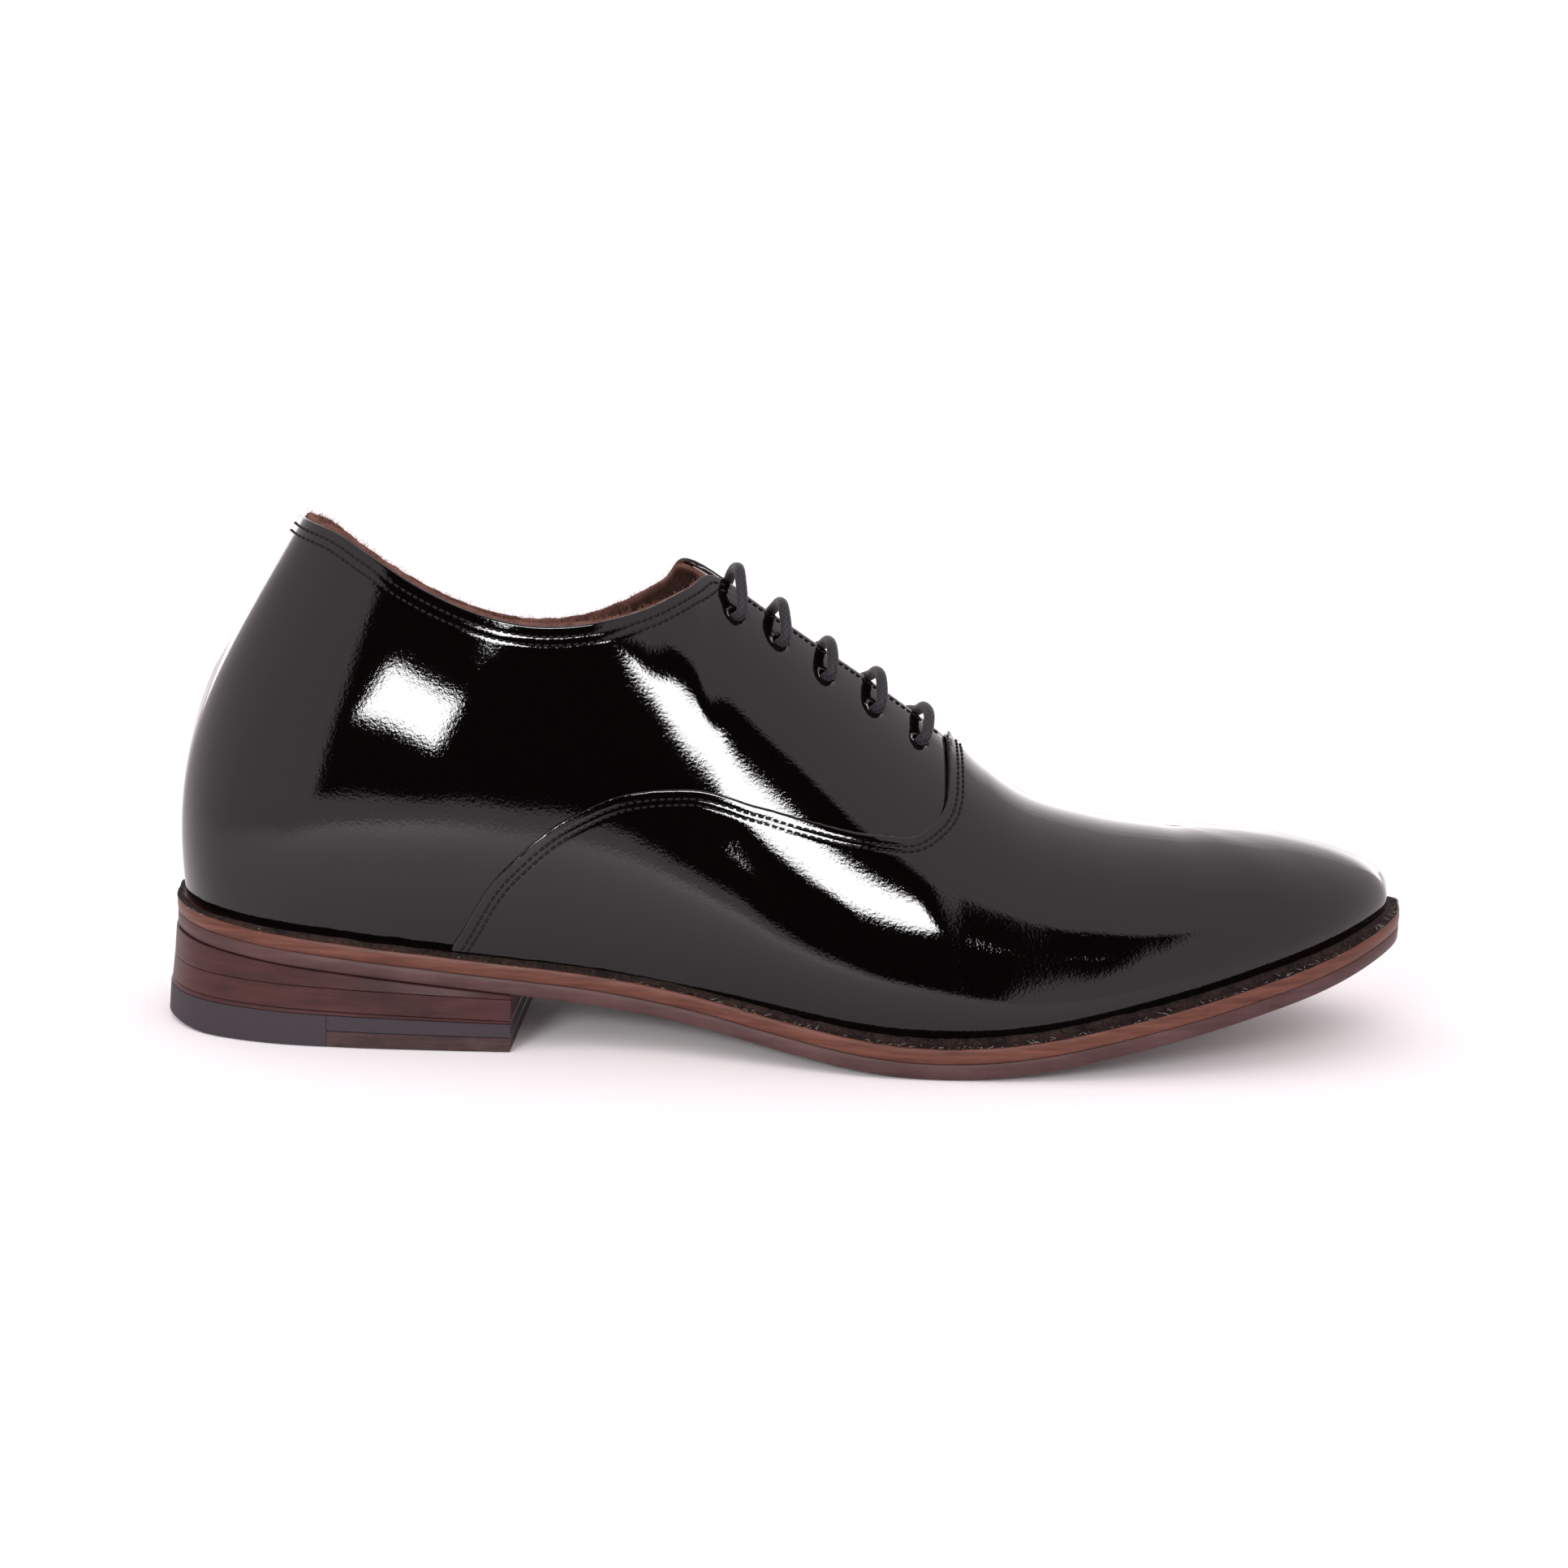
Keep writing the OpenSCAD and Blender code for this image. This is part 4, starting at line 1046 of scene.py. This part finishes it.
def build_lift(name, node, flare_top, flare_low, x0, x1, top, low, material, bevel=0.16):
    """One layer of the heel, cut straight at its front and, for the short ones, at its back."""
    round_back = x0 < 0
    fine = np.linspace(0, 8.5, 1200)
    loops = []
    count = 170
    for flare, height, inset in (
        (flare_top, top, bevel), (flare_top, lambda x: top(x) - bevel, 0.0),
        (flare_low, lambda x: low(x) + bevel, 0.0), (flare_low, low, bevel),
    ):
        ring = []
        for side in (LATERAL, MEDIAL):
            rim = edge_point(side, fine, ledge(fine) + flare - inset)
            a = np.interp(max(x0 + (inset if x0 > 0 else 0), rim[0, 0]), rim[:, 0], fine)
            b = np.interp(x1 - inset, rim[:, 0], fine)
            us = a + (b - a) * np.linspace(0, 1, count) ** (1.6 if round_back else 1.0)
            ring.append(edge_point(side, us, ledge(us) + flare - inset))
        loop = np.vstack([ring[0], ring[1][::-1][:count - round_back]])
        loops.append(raised(loop, height(loop[:, 0])))
    n = len(loops[0])
    ids = np.arange(4 * n).reshape(4, n)
    faces = clean_faces(grid_quads(wrapped(ids)))
    for ring_ids in (ids[0], ids[3]):
        left = ring_ids[:count]
        right = ring_ids[count:][::-1]
        if round_back:
            right = np.concatenate([[ring_ids[0]], right])
        faces += clean_faces(np.stack([left[:-1], left[1:], right[1:], right[:-1]], -1))
    o = add_mesh(name, np.vstack(loops), faces, material, smooth=False)
    return rides(o, "shoe", node)


build_lift("heel_seat_layer", "heel_seat_lift", 0.45, 1.0, -9, HEEL_LEN, lambda x: sole_under(x) - 0.1,
           lambda x: under_seat_lift(x) + 0.05, lift_look)
build_lift("heel_main_layer", "heel_main_lift", 1.05, 1.7, -9, HEEL_LEN, lambda x: under_seat_lift(x) - 0.05,
           lambda x: under_main_lift(x) + 0.05, lift_look)
build_lift("heel_thin_layer", "heel_thin_lift", 1.75, 2.0, -9, HEEL_LEN, lambda x: under_main_lift(x) - 0.05,
           lambda x: under_thin_lift(x) + 0.04, lift_look)
build_lift("heel_rubber_tread", "heel_rubber", 2.1, 2.6, -9, RUBBER_LEN - 0.05,
           lambda x: under_thin_lift(x) - 0.04, tread, rubber_look)
build_lift("heel_dark_strip", "heel_dark_layer", 2.1, 2.3, RUBBER_LEN + 0.05, HEEL_LEN,
           lambda x: under_thin_lift(x) - 0.04, lambda x: under_thin_lift(x) / 2 + 0.04,
           rubber_look)
build_lift("heel_top_piece", "heel_top_leather", 2.35, 2.6, RUBBER_LEN + 0.05, HEEL_LEN,
           lambda x: under_thin_lift(x) / 2 - 0.04, lambda x: 0 * x, top_piece_look)

# ---- tongue ----


def tongue_grid(us, off, cross):
    """Arched sheet across the opening; cross runs from -1 on the outer side to 1."""
    left = skin(LATERAL, us, 1 - TONGUE_HALF + 0 * us, off + 0 * us)
    top = (skin(LATERAL, us, 1 + 0 * us, off + 0 * us) + skin(MEDIAL, us, 1 + 0 * us, off + 0 * us)) / 2
    right = skin(MEDIAL, us, 1 - TONGUE_HALF + 0 * us, off + 0 * us)
    s = cross[None, :, None]
    return top[:, None] * (1 - s * s) + left[:, None] * s * (s - 1) / 2 + right[:, None] * s * (s + 1) / 2


def build_tongue(name, node, off, thick, material):
    us = np.arange(10, 15.21, 0.08)
    cross = np.linspace(-1, 1, 61)
    outer = tongue_grid(us, off, cross).reshape(-1, 3)
    inner = tongue_grid(us, off - thick, cross).reshape(-1, 3)
    faces = sheet_faces((len(us), len(cross)))
    o = add_mesh(name, np.vstack([outer, inner]), shell_faces(faces, len(outer)), material)
    return rides(o, "tongue", node)


build_tongue("tongue_leather_piece", "tongue", TONGUE_OUT, TONGUE_T, tongue_look)
build_tongue("tongue_lining_piece", "tongue_lining", TONGUE_OUT - TONGUE_T - 0.25, LINING_T, lining_look)

# ---- lace ----


def lace_bar(k):
    """Out of an inner hole, over the facings and into the outer hole opposite."""
    a, b = hole_point(MEDIAL, k, 0.0), hole_point(LATERAL, k, 0.0)
    na, nb = hole_normal(MEDIAL, k), hole_normal(LATERAL, k)
    crest = (a + b) / 2 + np.array([1.6 + 0.3 * k, 0, CREST_RISE[k]])
    return [
        a + na * (LACE_DEPTH + 0.2), a - na * 2.6, a + na * 1.7,
        crest + np.array([-1, 5.4, -1.6]), crest + np.array([0.3, 0, 0]),
        crest + np.array([1.2, -5.4, -1.2]), b + nb * 1.7 + np.array([0.6, 0, 0]),
        b - nb * 2.6, b + nb * (LACE_DEPTH + 0.2),
    ]


def lace_dive(k):
    """Inside, from an outer hole to the next inner one."""
    start, end = HOLES[LATERAL][k], HOLES[MEDIAL][k + 1]
    u = [start + (end - start) * t for t in (0.25, 0.5, 0.75)]
    return [skin(LATERAL, u[0], 0.94, LACE_DEPTH), skin(MEDIAL, u[1], 1, LACE_DEPTH),
            skin(MEDIAL, u[2], 0.94, LACE_DEPTH)]


START_TAIL = [[9.5, 0.42], [9.6, 0.55], [9.9, 0.68], [10.2, 0.78]]
END_TAIL = [[13.5, 0.76], [13.1, 0.68], [12.3, 0.62], [11.4, 0.61], [10.5, 0.6], [9.8, 0.52], [9.5, 0.4]]


def lace_route():
    route = [skin(MEDIAL, u, v, LACE_DEPTH) for u, v in START_TAIL]
    for k in range(HOLE_COUNT):
        route += lace_bar(k)
        if k < HOLE_COUNT - 1:
            route += lace_dive(k)
    return np.array(route + [skin(LATERAL, u, v, LACE_DEPTH) for u, v in END_TAIL])


def sweep(path, radius, sides):
    """Rings of a tube along a path, with spokes carried along so that it doesn't twist."""
    heading = unit(np.gradient(path, axis=0))
    spoke = unit(np.cross(heading[0], [0.1, 1, 0.2]))
    angles = np.linspace(0, 2 * math.pi, sides, endpoint=False)
    rings = []
    for i, h in enumerate(heading):
        spoke = unit(spoke - h * (spoke @ h))
        other = np.cross(h, spoke)
        r = radius[i] if np.ndim(radius[i]) else np.full(sides, radius[i])
        around = np.cos(angles)[:, None] * spoke + np.sin(angles)[:, None] * other
        rings.append(path[i] + r[:, None] * around)
    return np.array(rings)


def tube_faces(count, sides):
    ids = np.arange(count * sides).reshape(count, sides)
    return grid_quads(wrapped(ids)).tolist() + [ids[0].tolist(), ids[-1].tolist()]


def build_lace():
    """A braided cord, its radius rising and falling with the weave; gives its length."""
    route = lace_route()
    fine = glide(route, np.linspace(0, len(route) - 1.001, 9000))
    s = run_length(fine)
    step = 0.24
    at = np.arange(0, s[-1], step)
    path = np.stack([np.interp(at, s, fine[:, k]) for k in range(3)], 1)
    sides = 28
    phi = np.linspace(0, 2 * math.pi, sides, endpoint=False)[None, :]
    turn = 2 * math.pi * at[:, None] / 4.4
    one = np.cos(6 * phi + 3 * turn)
    two = np.cos(6 * phi - 3 * turn)
    over = np.sign(np.sin(4 * turn + 0.01))
    weave = np.maximum(one * (1 + 0.25 * over), two * (1 - 0.25 * over))
    weave = np.clip(0.5 + 0.5 * weave, 0, 1)
    radius = LACE_R - 0.09 + 0.12 * weave
    rings = sweep(path, list(radius), sides)
    o = add_mesh("lace_braid", rings.reshape(-1, 3), tube_faces(len(path), sides), lace_look,
                 fields={"weave": weave.ravel()})
    rides(o, "shoe", "lace")
    return s[-1]


lace_length = build_lace()

# ---- stitches ----


def offset_line(side, us, vs, distance, inward, steps=4):
    """Moves a line on the upper sideways within the surface."""
    us, vs = us.copy(), vs.copy()
    for _ in range(steps):
        p = on_upper(side, us, vs)
        tangent = unit(np.gradient(p, axis=0))
        n = normal(side, us, vs)
        across = unit(np.cross(n, tangent)) * inward
        su = (on_upper(side, us + 0.01, vs) - on_upper(side, us - 0.01, vs)) / 0.02
        sv = (on_upper(side, us, vs + 0.002) - on_upper(side, us, vs - 0.002)) / 0.004
        move = across * (distance / steps)
        a, b, c = (su * su).sum(1), (su * sv).sum(1), (sv * sv).sum(1)
        e, f = (su * move).sum(1), (sv * move).sum(1)
        det = np.maximum(a * c - b * b, 1e-9)
        us = us + (c * e - b * f) / det
        vs = vs + (a * f - b * e) / det
    return us, vs


def stitch_row(side, us, vs, off, pitch=1.8, length=1.4, radius=0.31):
    """Short threads lying along a line, their ends sunk into the leather."""
    p = skin(side, us, vs, np.full(len(us), off))
    n = normal(side, us, vs)
    s = run_length(p)
    points, faces = [], []
    start = 0.4
    profile = np.array([-0.5, -0.3, 0.0, 0.3, 0.5])
    lift = np.array([-0.26, 0.10, 0.18, 0.10, -0.26])
    sides = 7
    while start + length < s[-1]:
        mid = start + length / 2 + rng.normal(0, 0.04)
        size = length * rng.uniform(0.92, 1.06)
        at = mid + profile * size
        c = np.stack([np.interp(at, s, p[:, k]) for k in range(3)], 1)
        normals = unit(np.stack([np.interp(at, s, n[:, k]) for k in range(3)], 1))
        path = c + normals * lift[:, None]
        rings = sweep(path, [radius * r for r in (0.55, 0.95, 1.0, 0.95, 0.55)], sides)
        base = len(points) * len(profile) * sides
        points.append(rings.reshape(-1, 3))
        faces += [[i + base for i in f] for f in tube_faces(len(profile), sides)]
        start += pitch
    return points, faces


def join_rows(name, rows, material):
    """All stitches of some rows as one piece."""
    points, faces, base = [], [], 0
    for ps, fs in rows:
        stack = np.vstack(ps)
        faces += [[i + base for i in f] for f in fs]
        points.append(stack)
        base += len(stack)
    o = add_mesh(name, np.vstack(points), faces, material)
    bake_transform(o)
    return o


def vamp_seam_rows():
    rows = []
    for side in (LATERAL, MEDIAL):
        us, vs = arc_samples(side, vamp_u, vamp_v, 0.5)
        keep = (vs < 0.985) & (vs > 0.02)
        us, vs = us[keep], vs[keep]
        inward = 1 if side < 0 else -1
        middle = len(us) // 2
        if offset_line(side, us, vs, 1.0, inward, 1)[1][middle] > vs[middle]:
            inward = -inward
        for distance in VAMP_ROWS:
            u, v = offset_line(side, us, vs, distance, inward)
            ok = (v > 0.0) & (v < 0.985)
            rows.append(stitch_row(side, u[ok], v[ok], VAMP_IN + LEATHER_T - 0.05))
    return rows


def topline_rows():
    rows = []
    for side in (LATERAL, MEDIAL):
        columns = np.linspace(0.02, 10.3, 500)
        us, vs = arc_samples(side, columns, quarter_head(columns), 0.5)
        middle = len(vs) // 2
        inward = -1 if offset_line(side, us, vs, 1.0, 1, 1)[1][middle] > vs[middle] else 1
        for distance in TOPLINE_ROWS:
            u, v = offset_line(side, us, vs, distance, inward)
            rows.append(stitch_row(side, np.maximum(u, 0), v, QUARTER_OUT - 0.05, pitch=1.75, length=1.35))
        us = np.linspace(10.45, 13.98, 300)
        u, v = offset_line(side, us, quarter_head(us), FACING_ROW, inward)
        rows.append(stitch_row(side, u, v, QUARTER_OUT - 0.03, pitch=1.7, length=1.3, radius=0.25))
    return rows


join_rows("vamp_seam_stitches", vamp_seam_rows(), thread_look)
join_rows("topline_stitches", topline_rows(), thread_look)

# ---- loose fibres ----


def fibres(name, roots, directions, lengths, radius, material, curl=0.4):
    """Short curved hairs, thinner towards their ends."""
    points, faces = [], []
    sides = 4
    t = np.array([0, 0.5, 1.0])[:, None]
    for root, direction, length in zip(roots, directions, lengths):
        side_step = rng.normal(0, curl * length, 3)
        path = root + direction * length * t + side_step * t * t
        base = len(points) * len(t) * sides
        points.append(sweep(path, [radius, radius * 0.8, radius * 0.4], sides).reshape(-1, 3))
        faces += [[i + base for i in f] for f in tube_faces(len(t), sides)]
    o = add_mesh(name, np.vstack(points), faces, material)
    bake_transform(o)
    return o


def lining_fuzz():
    """Fibres on the raw upper edge of the lining."""
    roots, directions, lengths = [], [], []
    for side in (LATERAL, MEDIAL):
        us = rng.uniform(0.0, 10.2, 500)
        head = lining_head(side, us)
        off = -lining_depth(us, head) - rng.uniform(0.05, 1.0, len(us))
        p = skin(side, us, head - 0.001, off)
        up = unit(on_upper(side, us, head) - on_upper(side, us, head - 0.02))
        spread = rng.normal(0, 0.45, p.shape)
        roots += list(p)
        directions += list(unit(up + spread))
        lengths += list(rng.uniform(0.3, 1.3, len(us)))
    return fibres("lining_edge_fibres", roots, directions, lengths, 0.045, fuzz_look)


def welt_specks():
    """Pale fibres lying on the welt's rough upper face."""
    roots, directions, lengths = [], [], []
    for side in (LATERAL, MEDIAL):
        us = rng.uniform(1.0, 21.6, 260)
        out = rng.uniform(0.62, 0.9, len(us)) * ledge(us)
        xy = edge_point(side, us, out)
        roots += list(raised(xy, welt_z(xy[:, 0]) + 0.03))
        angle = rng.uniform(0, 2 * math.pi, len(us))
        directions += list(np.stack([np.cos(angle), np.sin(angle), 0.15 + 0 * angle], 1))
        lengths += list(rng.uniform(0.4, 1.6, len(us)))
    return fibres("welt_fibres", roots, directions, lengths, 0.05, glue_look, 0.2)


lining_fuzz()
welt_specks()

# ---- stage: floor, lights, camera ----


def matte(name, grey, roughness, specular):
    material = bpy.data.materials.new(name)
    material.use_nodes = True
    bsdf = material.node_tree.nodes["Principled BSDF"]
    bsdf.inputs["Base Color"].default_value = (grey, grey, grey, 1)
    bsdf.inputs["Roughness"].default_value = roughness
    bsdf.inputs["Specular IOR Level"].default_value = specular
    return material


def staged_plane(name, size_x, size_y, matrix):
    mesh = bpy.data.meshes.new(name)
    x, y = size_x / 2, size_y / 2
    mesh.from_pydata([(-x, -y, 0), (x, -y, 0), (x, y, 0), (-x, y, 0)], [], [(0, 1, 2, 3)])
    o = bpy.data.objects.new(name, mesh)
    o.matrix_world = matrix
    bpy.context.scene.collection.objects.link(o)
    return o


floor = staged_plane("floor", 40, 40, Matrix.Translation((0, 0, -0.0002)))
floor.data.materials.append(matte("floor_white", 0.97, 0.9, 0.1))

SHOE_CENTRE = np.array([140, -20, 60.0])


def axes_matrix(x_axis, y_axis, z_axis, where):
    """Placement from three axes and an origin."""
    rows = np.stack([x_axis, y_axis, z_axis, where], 1).tolist()
    return Matrix([*rows, [0, 0, 0, 1]])


def aimed(azimuth, elevation, distance, tilt):
    """Matrix of a panel that faces the shoe. Azimuth 0 is the outer side, 90 the toe; mm, degrees."""
    a, e, t = (math.radians(k) for k in (azimuth, elevation, tilt))
    out = np.array([math.sin(a) * math.cos(e), -math.cos(a) * math.cos(e), math.sin(e)])
    right = unit(np.cross(out, [0, 0, 1.0]))
    up = np.cross(right, out)
    r2 = math.cos(t) * right + math.sin(t) * up
    u2 = -math.sin(t) * right + math.cos(t) * up
    return axes_matrix(r2, u2, np.cross(r2, u2), metres(SHOE_CENTRE + out * distance))


def softbox(name, azimuth, elevation, distance, half_w, half_h, tilt, radiance, lights_up=True):
    """A lamp with an even bright face; half sizes in mm. lights_up: it also lights matt surfaces."""
    light = bpy.data.lights.new(name, "AREA")
    light.shape = "RECTANGLE"
    light.size, light.size_y = half_w / 500, half_h / 500
    light.energy = radiance * math.pi * light.size * light.size_y
    o = bpy.data.objects.new(name, light)
    m = aimed(azimuth, elevation, distance, tilt)
    out = Vector(metres(SHOE_CENTRE)) - m.translation
    if (m.to_3x3() @ Vector((0, 0, -1))).dot(out) < 0:
        m = m @ Matrix.Rotation(math.pi, 4, "Y")
    o.matrix_world = m
    bpy.context.scene.collection.objects.link(o)
    o.visible_camera = False
    o.visible_diffuse = lights_up


def dark_panel(name, azimuth, elevation, distance, half_w, half_h, tilt):
    """A black screen that only mirror reflections see."""
    o = staged_plane(name, half_w / 500, half_h / 500, aimed(azimuth, elevation, distance, tilt))
    o.data.materials.append(matte(name, 0.004, 1.0, 0.0))
    o.visible_camera = o.visible_diffuse = o.visible_shadow = o.visible_transmission = False


softbox("window_low", -24.1, 17.4, 600, 93, 44.5, 20.3, 30)
softbox("window_high", 7.2, 32.4, 3912, 982, 288, -20.3, 30, lights_up=False)
dark_panel("dark_room", -3.7, 28.1, 4500, 2325, 2593, 8)
# The far wall grows brighter towards the floor, in six overlapping steps
WALL_DISTANCE = 4200
for wall_top in (9, 15, 21, 27, 33, 39):
    wall_half_h = WALL_DISTANCE * math.tan(math.radians(wall_top / 2))
    softbox("wall_far_%d" % wall_top, 180, wall_top / 2, WALL_DISTANCE, 3600, wall_half_h, 0, 0.35,
            lights_up=False)

world = bpy.data.worlds.new("white_room")
world.use_nodes = True
world.node_tree.nodes["Background"].inputs["Color"].default_value = (1, 0.90, 0.93, 1)
world.node_tree.nodes["Background"].inputs["Strength"].default_value = 1.17
bpy.context.scene.world = world
bpy.context.scene.view_settings.view_transform = "Standard"
bpy.context.scene.view_settings.look = "None"

CAMERA_AT = [143.83, -459.63, 137.6]
pitch, yaw, roll = math.radians(9.58), math.radians(-1.0), math.radians(1.49)
level = np.array([-math.sin(yaw), math.cos(yaw), 0])
right = np.array([math.cos(yaw), math.sin(yaw), 0])
forward = math.cos(pitch) * level - math.sin(pitch) * np.array([0, 0, 1.0])
upward = math.sin(pitch) * level + math.cos(pitch) * np.array([0, 0, 1.0])
cam_right = math.cos(roll) * right + math.sin(roll) * upward
cam_up = -math.sin(roll) * right + math.cos(roll) * upward
camera_data = bpy.data.cameras.new("camera")
camera_data.sensor_width = 36
camera_data.lens = 42.98
camera_data.shift_x = -0.0023
camera_data.shift_y = -0.0042
camera = bpy.data.objects.new("camera", camera_data)
camera.matrix_world = axes_matrix(cam_right, cam_up, -forward, metres(CAMERA_AT))
camera_data.clip_start = 0.01
camera_data.clip_end = 100
bpy.context.scene.collection.objects.link(camera)
bpy.context.scene.camera = camera
